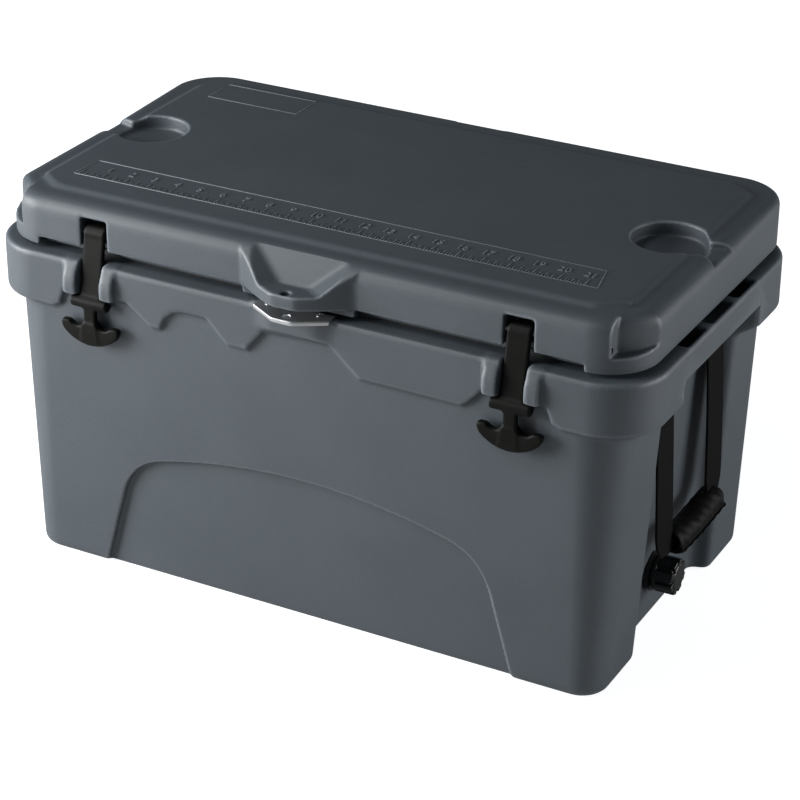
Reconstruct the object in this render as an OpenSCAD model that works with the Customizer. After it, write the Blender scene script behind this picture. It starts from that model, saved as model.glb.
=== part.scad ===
// Hard-sided rotomoulded cooler: foam-filled tub and lid, rubber T-latches, webbing handles and a screw drain.
// Frame: origin at the centre of the base, X along the length, front towards -Y, Z up. Millimetres.

/* [Overall] */
// Length over the tub's rim
rim_length = 692; // [600:1:800]
// Depth over the tub's rim
rim_depth = 380; // [330:1:450]
// Height of the rim's top face above the ground
rim_top = 331; // [280:1:400]
// Height of the lid's top above the rim
lid_rise = 57; // [52:1:64]

/* [Tub] */
// How far the side walls lie inside the rim, each end
end_overhang = 20; // [14:1:28]
// How far the front and rear walls lie inside the rim
front_overhang = 6; // [4:1:12]
// How far each end wall leans in from the rim down to the base
end_draft = 14; // [4:1:20]
// How far the front and rear walls lean in from the rim down to the base
front_draft = 3; // [2:1:10]
// Corner radius of the walls under the rim
wall_corner = 46; // [34:1:54]
// Corner radius of the walls at the base
base_corner = 28; // [20:1:34]
// Corner radius of the rim
rim_corner = 56; // [40:1:70]
// Height of the rim band at its corners
band_height = 52; // [44:1:60]
// How far the underside of the band slopes down to the wall
band_slope = 14; // [6:1:20]
// Thickness of the moulded skin
skin = 4; // [3:0.5:6]
// Distance from the inside of the chamber to the outside of the rim
wall_build = 72; // [66:1:85]
// Distance from the chamber to the outside of the rim, front and rear
front_build = 48; // [44:1:60]
// Height of the chamber floor above the ground
chamber_floor = 46; // [40:1:60]
// Corner radius of the chamber
chamber_corner = 36; // [25:1:50]
// Edge break along the bottom of the tub
foot_edge = 7; // [3:1:10]

/* [Front panel and side bays] */
// Half width of the arched front panel at the ground
arch_foot = 225; // [180:1:240]
// Half width of the arch at its shoulders
arch_shoulder = 190; // [150:1:200]
// Height of the arch's shoulders
arch_side_height = 122; // [100:1:140]
// Height of the arch's crown
arch_crown = 153; // [146:1:180]
// Depth of the front panel
arch_depth = 7; // [4:1:9]
// Depth of the bays at each end
bay_depth = 20; // [16:1:22]
// Half width of a bay at the ground
bay_foot = 93; // [88:1:100]
// Half width of a bay under the rim
bay_head = 84; // [82:1:90]
// Height of the rim over a bay
bay_rim = 31; // [26:1:40]

/* [Lid] */
// How far each end of the lid lies inside the rim
lid_end_inset = 10; // [6:1:14]
// How far the lid's half depth falls short of the rim's
lid_depth_inset = 1.5; // [1:0.5:4]
// How far the lid's centre lies behind the tub's centre
lid_shift = 7; // [4:1:9]
// Corner radius of the lid
lid_corner = 52; // [40:1:60]
// Radius of the lid's top edge
lid_edge = 13; // [6:1:16]
// Gap between the lid's skirt and the rim
lid_gap = 3.7; // [3:0.1:5]
// Height of the relief under the lid's front edge
skirt_relief = 8.3; // [6:0.1:10]
// Height of the raised centre panel
panel_step = 3.5; // [2:0.5:5]
// Distance from the raised panel to the lid's edge
panel_margin = 31; // [26:1:40]
// Length of the panel's corner chamfer along the lid
panel_chamfer_x = 23; // [10:1:40]
// Length of the panel's corner chamfer across the lid
panel_chamfer_y = 17; // [8:1:30]
// Depth of the plug that drops into the chamber
plug_depth = 16; // [10:1:20]
// Clearance round the plug
plug_clearance = 6; // [4:1:10]

/* [Cup recesses] */
// Radius of a cup recess
cup_radius = 36; // [32:1:40]
// Depth of a cup recess
cup_depth = 15; // [8:1:17]
// Distance from a cup's centre to the lid's end
cup_inset = 55; // [50:1:70]
// Distance of the cups behind the centre of the lid
cup_back = 7; // [0:1:20]
// Width of the drain channel of a cup
channel_width = 30; // [12:1:40]

/* [Latches] */
// Distance from the centre to each latch
latch_x = 222; // [180:1:235]
// Width of a latch's strap
strap_width = 23; // [18:1:26]
// Thickness of a latch's strap
strap_thickness = 5; // [4:0.5:6]
// Side clearance of a strap in its slot
slot_clearance = 3.4; // [1:0.2:4]
// Height of a latch pin below the lid's top
latch_pin_drop = 31; // [28:1:33]
// Radius of a latch pin
latch_pin_radius = 3; // [2.5:0.5:3.5]
// Length of a latch's T bar
bar_length = 40; // [38:1:46]
// Radius of a latch's T bar
bar_radius = 6; // [5:0.5:6.5]
// Width of the anchor-shaped pull
pull_width = 65; // [50:1:68]
// Width of each keeper ear
ear_width = 15; // [12:1:18]
// How far the ears stand out of the rim
ear_reach = 8; // [5:1:10]
// Height of the ears below the rim
ear_height = 33; // [28:1:36]

/* [Hinge] */
// How far the hinge and the lock plate reach beyond the rim
hinge_reach = 22; // [20:0.5:24]
// Radius of the hinge knuckles
knuckle_radius = 9; // [8:0.5:9.5]
// Radius of the hinge rod
rod_radius = 3; // [2.5:0.5:4]
// Length of the hinge
hinge_length = 560; // [420:1:600]
// Number of knuckles, tub and lid together
knuckles = 9; // [5:2:13]

/* [Lock plate] */
// Length of the lock plate
plate_length = 80; // [70:1:90]
// Thickness of the lock plate
plate_thickness = 2; // [1.5:0.5:3]
// Radius of the padlock hole
padlock_radius = 4.5; // [3.5:0.5:5]
// Radius of the lock plate's screws
plate_screw_radius = 2; // [1.5:0.5:2.5]

/* [Handles] */
// Width of the handle webbing
webbing_width = 38; // [30:1:42]
// Thickness of the handle webbing
webbing = 3; // [2:0.5:4]
// Distance from the centre of the end to each strap
webbing_y = 60; // [56:1:62]
// Height of the grip's centre above the ground
grip_height = 106; // [98:1:140]
// Radius of the wrapped grip
grip_radius = 15; // [12:0.5:16]
// Radius of the bars that the webbing loops round
strap_bar_radius = 3; // [2.5:0.5:3.5]

/* [Drain] */
// Height of the drain above the ground
drain_height = 56; // [56:1:64]
// Distance of the drain from the centre, towards the front
drain_y = 20; // [10:1:45]
// Radius of the drain's waterway
drain_bore = 9; // [7:0.5:9.5]
// Radius of the drain's threaded tube
drain_tube = 13; // [12:0.5:14]
// Radius of the drain cap
drain_cap_radius = 18.5; // [16:0.5:19]
// Length of the drain cap
drain_cap_length = 22; // [16:1:26]

/* [Feet] */
// Radius of a rubber foot
foot_radius = 20; // [14:1:24]
// How far the feet stand out of the base
foot_stand = 2; // [1.5:0.5:4]
// How far the feet are let into the base
foot_socket = 5; // [3:0.5:6]

/* [Hidden] */
$fn = 64;

e = 0.01;
fit = 0.05;
rim_hx = rim_length / 2;
rim_hy = rim_depth / 2;
wall_hx = rim_hx - end_overhang;
wall_hy = rim_hy - front_overhang;
wall_top = rim_top - band_height;
draft_height = wall_top - foot_stand;
front_lean = atan(front_draft / draft_height);
end_lean = atan(end_draft / draft_height);
chamber_hx = rim_hx - wall_build;
chamber_hy = rim_hy - front_build;
base_hx = wall_hx - end_draft;
base_hy = wall_hy - front_draft;
bay_wall = wall_hx - bay_depth;
bay_top = rim_top - bay_rim;

total_height = rim_top + lid_rise;
lid_hx = rim_hx - lid_end_inset;
lid_hy = rim_hy - lid_depth_inset;
lid_front = lid_shift - lid_hy;
lid_rear = lid_shift + lid_hy;
lid_low = rim_top + lid_gap;
lid_line = lid_low + skirt_relief;
deck = total_height - panel_step;
panel_hx = lid_hx - panel_margin;
panel_hy = lid_hy - panel_margin - e;
cup_x = lid_hx - cup_inset;
cup_floor = total_height - cup_depth;
plug_hx = chamber_hx - plug_clearance;
plug_hy = chamber_hy - plug_clearance;
plug_low = lid_low - plug_depth;

tongue_foot = 59;
tongue_nose = 27;
tongue_point = 12;
tongue_low = lid_low + 7.5;
tongue_front = -rim_hy - hinge_reach + 2;
shelf_z = lid_low + 21.5;
shelf_back = tongue_front + 23;
pocket_half_top = 51;
pocket_half_low = 15;
pocket_back = lid_front + 11;
step_x = 285;
relief_depth = 12;

slot_half = strap_width / 2 + slot_clearance;
slot_top = total_height - 15.5;
slot_depth = 21;
latch_pin_y = lid_front + 9;
latch_pin_z = total_height - latch_pin_drop;
roll_radius = latch_pin_radius + fit + strap_thickness;
ear_gap = strap_width / 2 + 1.5;
gate_depth = 11;
ear_low = rim_top - ear_height;
bar_z = ear_low - bar_radius - 0.5;
bar_y = -wall_hy - bar_radius - 1.2;
pull_top = bar_z - 21;
pull_low = pull_top - 23;
padlock_y = -rim_hy - 13;
plate_screw_x = 27;
plate_screw_y = -rim_hy + 3;
pin_inner = latch_x - slot_half - 8;
recess_wall = latch_x + 85;
recess_low = lid_line + 7;
recess_high = deck - 5;
recess_inset = 12;

hinge_y = rim_hy + hinge_reach - knuckle_radius;
hinge_z = rim_top + 2;
knuckle_pitch = hinge_length / knuckles;
knuckle_gap = 1;

pocket_x = rim_hx - 24;
pocket_lip = rim_hx - 4.4;
pocket_floor = rim_top - 15;
strap_bar_x = lid_hx - 2;
strap_bar_z = rim_top - 9;
pocket_half = webbing_width / 2 + 3;
loop_radius = strap_bar_radius + fit + webbing;
exit_x = bay_wall + 7;
exit_z = bay_top - 8;
grip_x = exit_x + 9;

drain_wall = bay_wall - end_draft * (1 - (drain_height - foot_stand) / draft_height);
drain_face = drain_wall - 2;
nut_thickness = 4;
nut_radius = drain_tube + 4;
nut_seat = chamber_hx - 5;
well_radius = nut_radius + 1.5;
well_length = 26;
drain_seat = 0.5;
foot_x = base_hx - 47;
foot_y = base_hy - 48;
gasket_width = 10;
gasket_in = 12;
screw_head = 4;

// A 2D section of a block: half width r at the top, leaning in by lean, with broken lower and upper edges.
module half_section(r, z0, z1, lean, low_break, high_break) {
    polygon([
        [0, z0], [r - lean - low_break, z0], [r - lean, z0 + low_break],
        [r, z1 - high_break], [r - high_break, z1], [0, z1]
    ]);
}

// A rectangular block with round vertical corners and leaning walls.
module drafted_block(hx, hy, r, z0, z1, lean = 0, low_break = 0, high_break = 0) {
    for (sx = [-1, 1], sy = [-1, 1])
        translate([sx * (hx - r), sy * (hy - r), 0])
            rotate_extrude() half_section(r, z0, z1, lean, low_break, high_break);
    for (side = [0, 1])
        mirror([0, side, 0]) rotate([90, 0, 90])
            linear_extrude(2 * (hx - r), center = true)
                half_section(hy, z0, z1, lean, low_break, high_break);
    for (side = [0, 1])
        mirror([side, 0, 0]) rotate([90, 0, 0])
            linear_extrude(2 * (hy - r), center = true)
                half_section(hx, z0, z1, lean, low_break, high_break);
}

// A 2D half section whose top outer corner is an arc.
module round_top_section(r, z0, z1, edge) {
    square_low = z1 - edge;
    translate([0, z0]) square([r, square_low - z0]);
    translate([0, square_low - e]) square([r - edge, edge + e]);
    intersection() {
        translate([r - edge, square_low]) circle(edge);
        translate([r - edge - e, square_low - e]) square(edge + e);
    }
}

module round_top_block(hx, hy, r, z0, z1, edge) {
    for (sx = [-1, 1], sy = [-1, 1])
        translate([sx * (hx - r), sy * (hy - r), 0])
            rotate_extrude() round_top_section(r, z0, z1, edge);
    for (side = [0, 1]) {
        mirror([0, side, 0]) rotate([90, 0, 90])
            linear_extrude(2 * (hx - r), center = true) round_top_section(hy, z0, z1, edge);
        mirror([side, 0, 0]) rotate([90, 0, 0])
            linear_extrude(2 * (hy - r), center = true) round_top_section(hx, z0, z1, edge);
    }
}

// A 2D outline in X and Z, cut along Y from y0 to y1.
module along_y(y0, y1) {
    translate([0, y1, 0]) rotate([90, 0, 0]) linear_extrude(y1 - y0) children();
}

// A 2D outline in Y and Z, cut along X from x0 to x1.
module along_x(x0, x1) {
    translate([x0, 0, 0]) rotate([90, 0, 90]) linear_extrude(x1 - x0) children();
}

module rod_x(x0, x1, y, z, r) {
    translate([x0, y, z]) rotate([0, 90, 0]) cylinder(x1 - x0, r, r);
}

module rod_y(y0, y1, x, z, r) {
    translate([x, y0, z]) rotate([-90, 0, 0]) cylinder(y1 - y0, r, r);
}

// ---- tub ----

// The walls: two different drafts, so the ends and the long sides lean by their own amounts.
module wall_block(inset = 0) {
    levels = [
        [wall_hx, wall_hy, wall_top, wall_corner - inset],
        [base_hx, base_hy, foot_stand + inset + foot_edge, base_corner - inset],
        [base_hx - foot_edge, base_hy - foot_edge, foot_stand + inset, base_corner - inset - foot_edge]
    ];
    hull() for (at = levels, sx = [-1, 1], sy = [-1, 1])
        translate([sx * (at[0] - inset - at[3]), sy * (at[1] - inset - at[3]), at[2]])
            cylinder(e, at[3], at[3], $fn = 48);
}

module chamber(grow = 0) {
    drafted_block(chamber_hx + grow, chamber_hy + grow, chamber_corner + grow,
        chamber_floor - grow, rim_top + 1, 6, 8);
}

// The arched front panel: straight legs to the shoulders and one shallow arc over the crown.
module arch_outline(grow = 0) {
    rise = arch_crown - arch_side_height;
    radius = (arch_shoulder * arch_shoulder + rise * rise) / (2 * rise);
    intersection() {
        polygon([
            [-arch_foot - grow, -1], [-arch_shoulder - grow, arch_side_height + grow],
            [-arch_shoulder - grow, arch_crown + 50], [arch_shoulder + grow, arch_crown + 50],
            [arch_shoulder + grow, arch_side_height + grow], [arch_foot + grow, -1]
        ]);
        translate([0, arch_crown - radius]) circle(radius + grow, $fn = 200);
    }
}

module arch_cut(depth, grow = 0) {
    translate([0, -base_hy, foot_stand]) rotate([front_lean, 0, 0])
        translate([0, 0, -foot_stand]) along_y(-30, depth) arch_outline(grow);
}

module bay_outline(grow = 0) {
    polygon([
        [-bay_foot - grow, -1], [-bay_head - grow, bay_top], [bay_head + grow, bay_top],
        [bay_foot + grow, -1]
    ]);
}

module bay_cuts(depth, grow = 0) {
    for (side = [0, 1]) mirror([side, 0, 0])
        translate([base_hx, 0, foot_stand]) rotate([0, end_lean, 0])
            translate([0, 0, -foot_stand]) along_x(-depth, 60) bay_outline(grow);
}

// The wavy lower edge of the rim band along the front.
module band_front_cut() {
    low = wall_top - band_slope - 1;
    high = ear_low;
    latch_span = 37;
    for (side = [-1, 1])
        translate([side * latch_x, low]) square([2 * latch_span, 2 * (high - low)], center = true);
    polygon([[-141, low], [-136, high + 4], [-124, high + 8], [-92, high + 4], [-76, low]]);
    polygon([[-52, low], [-33, high + 9], [36, high + 9], [66, low]]);
}

module rim_band() {
    difference() {
        union() {
            drafted_block(rim_hx, rim_hy, rim_corner, wall_top, rim_top, 0, 0, 2.5);
            drafted_block(rim_hx, rim_hy, rim_corner, wall_top - band_slope, wall_top + e,
                max(end_overhang, front_overhang));
        }
        along_y(-rim_hy - 5, -wall_hy) band_front_cut();
    }
}

// Two keeper ears per latch, with a round nose, and a nose under the lock plate.
module ears() {
    for (side = [-1, 1], hand = [-1, 1])
        translate([side * latch_x + hand * (ear_gap + ear_width / 2), 0, 0])
            along_x(-ear_width / 2, ear_width / 2) intersection() {
                translate([-rim_hy - ear_reach, ear_low]) square([ear_reach + 8, ear_height]);
                translate([-rim_hy - ear_reach + 30, ear_low + 8]) circle(30);
            }
    translate([0, 0, rim_top - 20]) linear_extrude(20) polygon([
        [-36, -rim_hy + 1], [-24, -rim_hy - 4], [24, -rim_hy - 4], [36, -rim_hy + 1]
    ]);
}

module tub_knuckles() {
    for (k = [0 : 2 : knuckles - 1]) {
        x0 = -hinge_length / 2 + k * knuckle_pitch;
        x1 = x0 + knuckle_pitch - knuckle_gap;
        rod_x(x0, x1, hinge_y, hinge_z, knuckle_radius);
        translate([x0, rim_hy - 4, hinge_z - knuckle_radius - 6])
            cube([x1 - x0, hinge_y - rim_hy + 4, knuckle_radius + 6]);
    }
}

module strap_pockets() {
    for (side = [0, 1]) mirror([side, 0, 0]) {
        for (hand = [-1, 1]) {
            translate([pocket_x, hand * webbing_y - pocket_half, pocket_floor])
                cube([pocket_lip - pocket_x, 2 * pocket_half, 30]);
            translate([exit_x - 4, hand * webbing_y - pocket_half, bay_top - 3])
                cube([pocket_lip - exit_x + 2, 2 * pocket_half, pocket_floor - bay_top + 3 + e]);
            rod_y(hand * webbing_y - pocket_half - 5, hand * webbing_y + pocket_half + 5,
                strap_bar_x, strap_bar_z, strap_bar_radius + fit);
        }
        translate([pocket_x, -(webbing_y - pocket_half - 12), rim_top - 8])
            cube([pocket_lip - pocket_x, 2 * (webbing_y - pocket_half - 12), 20]);
    }
}

module foot_places() {
    for (sx = [-1, 1], sy = [-1, 1]) translate([sx * foot_x, sy * foot_y, 0]) children();
}

module foam_space() {
    difference() {
        union() {
            wall_block(skin);
            drafted_block(wall_hx - skin, wall_hy - skin, wall_corner - skin, wall_top, rim_top - skin);
        }
        for (side = [0, 1]) mirror([side, 0, 0])
            translate([bay_wall - skin, -bay_head - skin, wall_top / 2]) cube([100, 2 * (bay_head + skin), rim_top]);
        chamber(skin);
        arch_cut(arch_depth + skin, skin);
        bay_cuts(bay_depth + skin, skin);
        foot_places() cylinder(foot_stand + foot_socket + 14, foot_radius + 4, foot_radius + 4);
        rod_x(chamber_hx - 30, rim_hx, -drain_y, drain_height, drain_tube + skin);
        drain_seats(skin);
        latch_gates(skin);
    }
}

// The gap between each latch's two ears, where the strap crosses the rim.
module latch_gates(grow = 0) {
    for (side = [-1, 1])
        translate([side * latch_x - ear_gap - grow, -rim_hy - 20, ear_low - grow])
            cube([2 * (ear_gap + grow), 20 + gate_depth + grow, ear_height + 20]);
}

// Flat seats for the drain: one on the leaning end wall and a small well inside, down to the floor.
module drain_seats(grow = 0) {
    at_drain() translate([0, 0, drain_face - grow])
        cylinder(40, drain_cap_radius + 3 + grow, drain_cap_radius + 3 + grow);
    at_drain() translate([0, 0, nut_seat - well_length - grow])
        cylinder(well_length + 2 * grow, well_radius + grow, well_radius + grow);
}

module plate_screw_places() {
    for (side = [-1, 1]) translate([side * plate_screw_x, plate_screw_y, 0]) children();
}

module tub_shell() {
    color("#575d64") difference() {
        union() {
            wall_block();
            rim_band();
            ears();
            tub_knuckles();
        }
        chamber();
        arch_cut(arch_depth);
        bay_cuts(bay_depth);
        foam_space();
        strap_pockets();
        latch_gates();
        rod_x(-hinge_length / 2 - 1, hinge_length / 2 + 1, hinge_y, hinge_z, rod_radius + fit);
        foot_places() {
            cylinder(foot_stand + foot_socket, foot_radius + 0.2, foot_radius + 0.2);
            cylinder(foot_stand + foot_socket + 10, 2, 2);
        }
        rod_x(chamber_hx - 30, rim_hx, -drain_y, drain_height, drain_tube + fit);
        drain_seats();
        plate_screw_places() translate([0, 0, rim_top - 16]) cylinder(17, plate_screw_radius, plate_screw_radius);
    }
}

module tub_foam() {
    color("#d8c98a") foam_space();
}

module rubber_feet() {
    color("#1c1d1f") difference() {
        foot_places() cylinder(foot_stand + foot_socket, foot_radius, foot_radius);
        foot_places() translate([0, 0, -1]) cylinder(4, 5.2, 5.2);
        foot_places() translate([0, 0, -1]) cylinder(20, 2.2, 2.2);
    }
}

module foot_screws() {
    color("#b9bcc0") foot_places() {
        translate([0, 0, 1]) cylinder(2, 5, 5);
        translate([0, 0, 2]) cylinder(foot_stand + foot_socket + 6, 2, 2);
    }
}

// ---- lid ----

module panel_outline() {
    polygon([
        [-panel_hx, -panel_hy + panel_chamfer_y], [-panel_hx + panel_chamfer_x, -panel_hy],
        [panel_hx - panel_chamfer_x, -panel_hy], [panel_hx, -panel_hy + panel_chamfer_y],
        [panel_hx, panel_hy - panel_chamfer_y], [panel_hx - panel_chamfer_x, panel_hy],
        [-panel_hx + panel_chamfer_x, panel_hy], [-panel_hx, panel_hy - panel_chamfer_y]
    ]);
}

// The tongue reaches over the lock plate: two arms slope down from the lid to its nose.
module tongue() {
    arm_top = deck - lid_edge + 6;
    intersection() {
        translate([0, 0, tongue_low]) linear_extrude(60) polygon([
            [-tongue_foot, lid_front + 20], [-tongue_foot, lid_front], [-tongue_nose, tongue_front + 7],
            [-tongue_point, tongue_front], [tongue_point, tongue_front],
            [tongue_nose, tongue_front + 7], [tongue_foot, lid_front], [tongue_foot, lid_front + 20]
        ]);
        along_x(-tongue_foot, tongue_foot) polygon([
            [tongue_front - 1, tongue_low], [tongue_front - 1, shelf_z], [tongue_front + 7, shelf_z],
            [lid_front, arm_top], [lid_front + 20, arm_top], [lid_front + 20, tongue_low]
        ]);
    }
}

// The finger pocket scooped out behind the tongue: a leaning back and two converging side walls.
module finger_pocket() {
    levels = [
        [shelf_z, pocket_half_low, shelf_back, tongue_nose],
        [deck + 1, pocket_half_top, pocket_back, tongue_foot + 6]
    ];
    hull() for (at = levels) translate([0, 0, at[0]]) linear_extrude(e) polygon([
        [-at[1], at[2]], [at[1], at[2]], [at[3], at[2] - 15], [at[3], tongue_front - 5],
        [-at[3], tongue_front - 5], [-at[3], at[2] - 15]
    ]);
}

module corner_recesses() {
    for (side = [0, 1]) mirror([side, 0, 0]) difference() {
        translate([recess_wall, lid_front - 1, recess_low])
            cube([lid_hx - recess_wall + 2, lid_corner + 1, recess_high - recess_low]);
        translate([0, lid_shift, 0])
            drafted_block(lid_hx - recess_inset, lid_hy - recess_inset, lid_corner - recess_inset,
                recess_low - 1, recess_high + 1);
    }
}

module cups() {
    for (side = [-1, 1]) {
        translate([side * cup_x, lid_shift + cup_back, cup_floor]) cylinder(60, cup_radius, cup_radius, $fn = 96);
        translate([side * (cup_x + lid_hx + 2) / 2, lid_shift + cup_back, cup_floor + 7 + 30])
            cube([lid_hx + 2 - cup_x, channel_width, 60], center = true);
    }
}

module latch_slots(grow = 0) {
    for (side = [-1, 1])
        translate([side * latch_x - slot_half - grow, lid_front - 30, lid_low - 20])
            cube([2 * (slot_half + grow), slot_depth + 30 + grow, slot_top - lid_low + 20 + grow]);
}

module lid_knuckles() {
    for (k = [1 : 2 : knuckles - 1]) {
        x0 = -hinge_length / 2 + k * knuckle_pitch;
        x1 = x0 + knuckle_pitch - knuckle_gap;
        rod_x(x0, x1, hinge_y, hinge_z, knuckle_radius);
        translate([x0, rim_hy + 1, hinge_z]) cube([x1 - x0, hinge_reach - 2, lid_line - hinge_z + 4]);
    }
}

module gasket_ring(extra = 0) {
    hx = chamber_hx + gasket_in + gasket_width;
    hy = chamber_hy + gasket_in + gasket_width;
    r = chamber_corner + gasket_in + gasket_width;
    z0 = rim_top + 0.2;
    z1 = lid_low + 2;
    difference() {
        drafted_block(hx, hy, r, z0 - extra, z1);
        drafted_block(hx - gasket_width, hy - gasket_width, r - gasket_width, z0 - extra - 1, z1 + 1);
    }
}

module lid_foam_space() {
    difference() {
        union() {
            translate([0, lid_shift, 0])
                drafted_block(lid_hx - 16, lid_hy - 16, lid_corner - 14, lid_line - 2, deck - skin, 0, 0, 8);
            drafted_block(plug_hx - skin, plug_hy - skin, chamber_corner - plug_clearance, plug_low + skin, lid_line, 2);
        }
        latch_slots(skin);
        for (side = [-1, 1]) {
            translate([side * cup_x, lid_shift + cup_back, cup_floor - skin])
                cylinder(60, cup_radius + skin, cup_radius + skin);
            rod_x(min(side * pin_inner, side * 400) - skin, max(side * pin_inner, side * 400),
                latch_pin_y, latch_pin_z, 8);
        }
        translate([-pocket_half_top - 6, lid_front - 1, lid_low]) cube([2 * pocket_half_top + 12, 30, 80]);
        for (side = [0, 1]) mirror([side, 0, 0])
            translate([recess_wall - skin, lid_front - 1, lid_low]) cube([100, lid_corner, 80]);
    }
}

module lid_shell() {
    color("#5c6269") difference() {
        union() {
            difference() {
                union() {
                    translate([0, lid_shift, 0])
                        round_top_block(lid_hx, lid_hy, lid_corner, lid_low, deck, lid_edge);
                    translate([0, lid_shift, deck - e]) linear_extrude(panel_step + e) panel_outline();
                    drafted_block(plug_hx, plug_hy, chamber_corner - plug_clearance + 4,
                        plug_low, lid_low + 1, 2, 3);
                }
                for (side = [-1, 1])
                    translate([side * (step_x + tongue_foot) / 2, lid_front, lid_low])
                        cube([step_x - tongue_foot, 2 * relief_depth, 2 * skirt_relief], center = true);
                rod_x(-hinge_length / 2 - 2, hinge_length / 2 + 2, hinge_y, hinge_z, knuckle_radius + 0.6);
                translate([-26, lid_rear - 5, lid_line + 22]) cube([52, 10, 60]);
            }
            tongue();
            lid_knuckles();
        }
        finger_pocket();
        corner_recesses();
        cups();
        latch_slots();
        lid_foam_space();
        gasket_ring(1);
        for (side = [-1, 1])
            rod_x(min(side * pin_inner, side * (recess_wall + 1)), max(side * pin_inner, side * (recess_wall + 1)),
                latch_pin_y, latch_pin_z, latch_pin_radius + fit);
        rod_x(-hinge_length / 2 - 1, hinge_length / 2 + 1, hinge_y, hinge_z, rod_radius + fit);
        translate([0, padlock_y, tongue_low - 1]) cylinder(40, padlock_radius, padlock_radius);
    }
}

module lid_foam() {
    color("#d8c98a") lid_foam_space();
}

module lid_gasket() {
    color("#2b2c2e") gasket_ring();
}

module hinge_rod() {
    color("#c3c6ca") rod_x(-hinge_length / 2, hinge_length / 2 - knuckle_gap, hinge_y, hinge_z, rod_radius);
}

module hinge_rod_caps() {
    color("#2b2c2e") {
        rod_x(-hinge_length / 2 - 2.5, -hinge_length / 2 - fit, hinge_y, hinge_z, 6);
        rod_x(hinge_length / 2 - knuckle_gap + fit, hinge_length / 2 - knuckle_gap + 2.5, hinge_y, hinge_z, 6);
    }
}

// ---- latches ----

// The anchor-shaped pull: a curved bar with two upswept hooks, in X and Z.
module pull_outline() {
    half = pull_width / 2;
    difference() {
        intersection() {
            translate([0, pull_low + 60]) circle(60, $fn = 120);
            translate([-half, pull_low]) square([pull_width, pull_top - pull_low]);
        }
        for (side = [-1, 1]) translate([side * (half - 14), pull_top + 3]) circle(11);
    }
}

module latch_solid() {
    neck = strap_width / 2 - 4;
    difference() {
        union() {
            rod_x(-strap_width / 2, strap_width / 2, latch_pin_y, latch_pin_z, roll_radius);
            along_x(-strap_width / 2, strap_width / 2) polygon([
                [latch_pin_y - roll_radius, latch_pin_z], [latch_pin_y - roll_radius + strap_thickness, latch_pin_z],
                [bar_y + strap_thickness - 2, bar_z], [bar_y - 2, bar_z]
            ]);
            rod_x(-bar_length / 2, bar_length / 2, bar_y, bar_z, bar_radius);
            along_y(bar_y - 4, bar_y + 3) translate([-neck, pull_low + 5]) square([2 * neck, bar_z - pull_low - 5]);
            along_y(bar_y - 4, bar_y + 3) pull_outline();
        }
        rod_x(-50, 50, latch_pin_y, latch_pin_z, latch_pin_radius + fit);
    }
}

module latch_left() {
    color("#1f2022") translate([-latch_x, 0, 0]) latch_solid();
}

module latch_right() {
    color("#1f2022") translate([latch_x, 0, 0]) latch_solid();
}

module latch_pin_left() {
    color("#c3c6ca") rod_x(-recess_wall, -pin_inner, latch_pin_y, latch_pin_z, latch_pin_radius);
}

module latch_pin_right() {
    color("#c3c6ca") rod_x(pin_inner, recess_wall, latch_pin_y, latch_pin_z, latch_pin_radius);
}

// ---- lock plate ----

module lock_plate() {
    front = -rim_hy - hinge_reach;
    color("#c9ccd0") difference() {
        union() {
            translate([0, 0, rim_top]) linear_extrude(plate_thickness) polygon([
                [-plate_length / 2, -rim_hy + 10], [-plate_length / 2, -rim_hy - 4], [-10, front],
                [10, front], [plate_length / 2, -rim_hy - 4], [plate_length / 2, -rim_hy + 10]
            ]);
            translate([-10, front, rim_top - 4]) cube([20, plate_thickness, 4 + e]);
        }
        translate([0, padlock_y, rim_top - 1])
            cylinder(plate_thickness + 2, padlock_radius, padlock_radius);
        plate_screw_places() translate([0, 0, rim_top - 1])
            cylinder(plate_thickness + 2, plate_screw_radius + 0.2, plate_screw_radius + 0.2);
    }
}

module lock_plate_screws() {
    color("#aeb1b5") plate_screw_places() {
        translate([0, 0, rim_top + plate_thickness]) cylinder(1.2, screw_head, screw_head);
        translate([0, 0, rim_top - 14]) cylinder(plate_thickness + 15, plate_screw_radius, plate_screw_radius);
    }
}

// ---- handles ----

module strap_bars_right() {
    color("#b9bcc0") for (hand = [-1, 1])
        rod_y(hand * webbing_y - pocket_half - 4, hand * webbing_y + pocket_half + 4,
            strap_bar_x, strap_bar_z, strap_bar_radius);
}

module strap_bars_left() {
    mirror([1, 0, 0]) strap_bars_right();
}

// The fixed end of the webbing: a loop round each bar and a run down through the rim.
module strap_loops_right() {
    color("#17181a") for (hand = [-1, 1])
        along_y(hand * webbing_y - webbing_width / 2, hand * webbing_y + webbing_width / 2) difference() {
            union() {
                translate([strap_bar_x, strap_bar_z]) circle(loop_radius);
                polygon([
                    [strap_bar_x - loop_radius, strap_bar_z + 1], [strap_bar_x - 1, strap_bar_z - loop_radius + 0.6],
                    [exit_x + webbing / 2, exit_z + 2], [exit_x - webbing / 2, exit_z + 2]
                ]);
            }
            translate([strap_bar_x, strap_bar_z]) circle(strap_bar_radius + fit);
        }
}

module strap_loops_left() {
    mirror([1, 0, 0]) strap_loops_right();
}

// The hanging straps: flat webbing from the rim down to the grip's ends.
module handle_straps_right() {
    color("#17181a") for (hand = [-1, 1])
        along_y(hand * webbing_y - webbing_width / 2, hand * webbing_y + webbing_width / 2) {
            translate([exit_x, exit_z]) circle(webbing / 2, $fn = 24);
            polygon([
                [exit_x - webbing / 2, exit_z], [exit_x + webbing / 2, exit_z],
                [grip_x + webbing / 2, grip_height + grip_radius + fit],
                [grip_x - webbing / 2, grip_height + grip_radius + fit]
            ]);
        }
}

module handle_straps_left() {
    mirror([1, 0, 0]) handle_straps_right();
}

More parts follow.
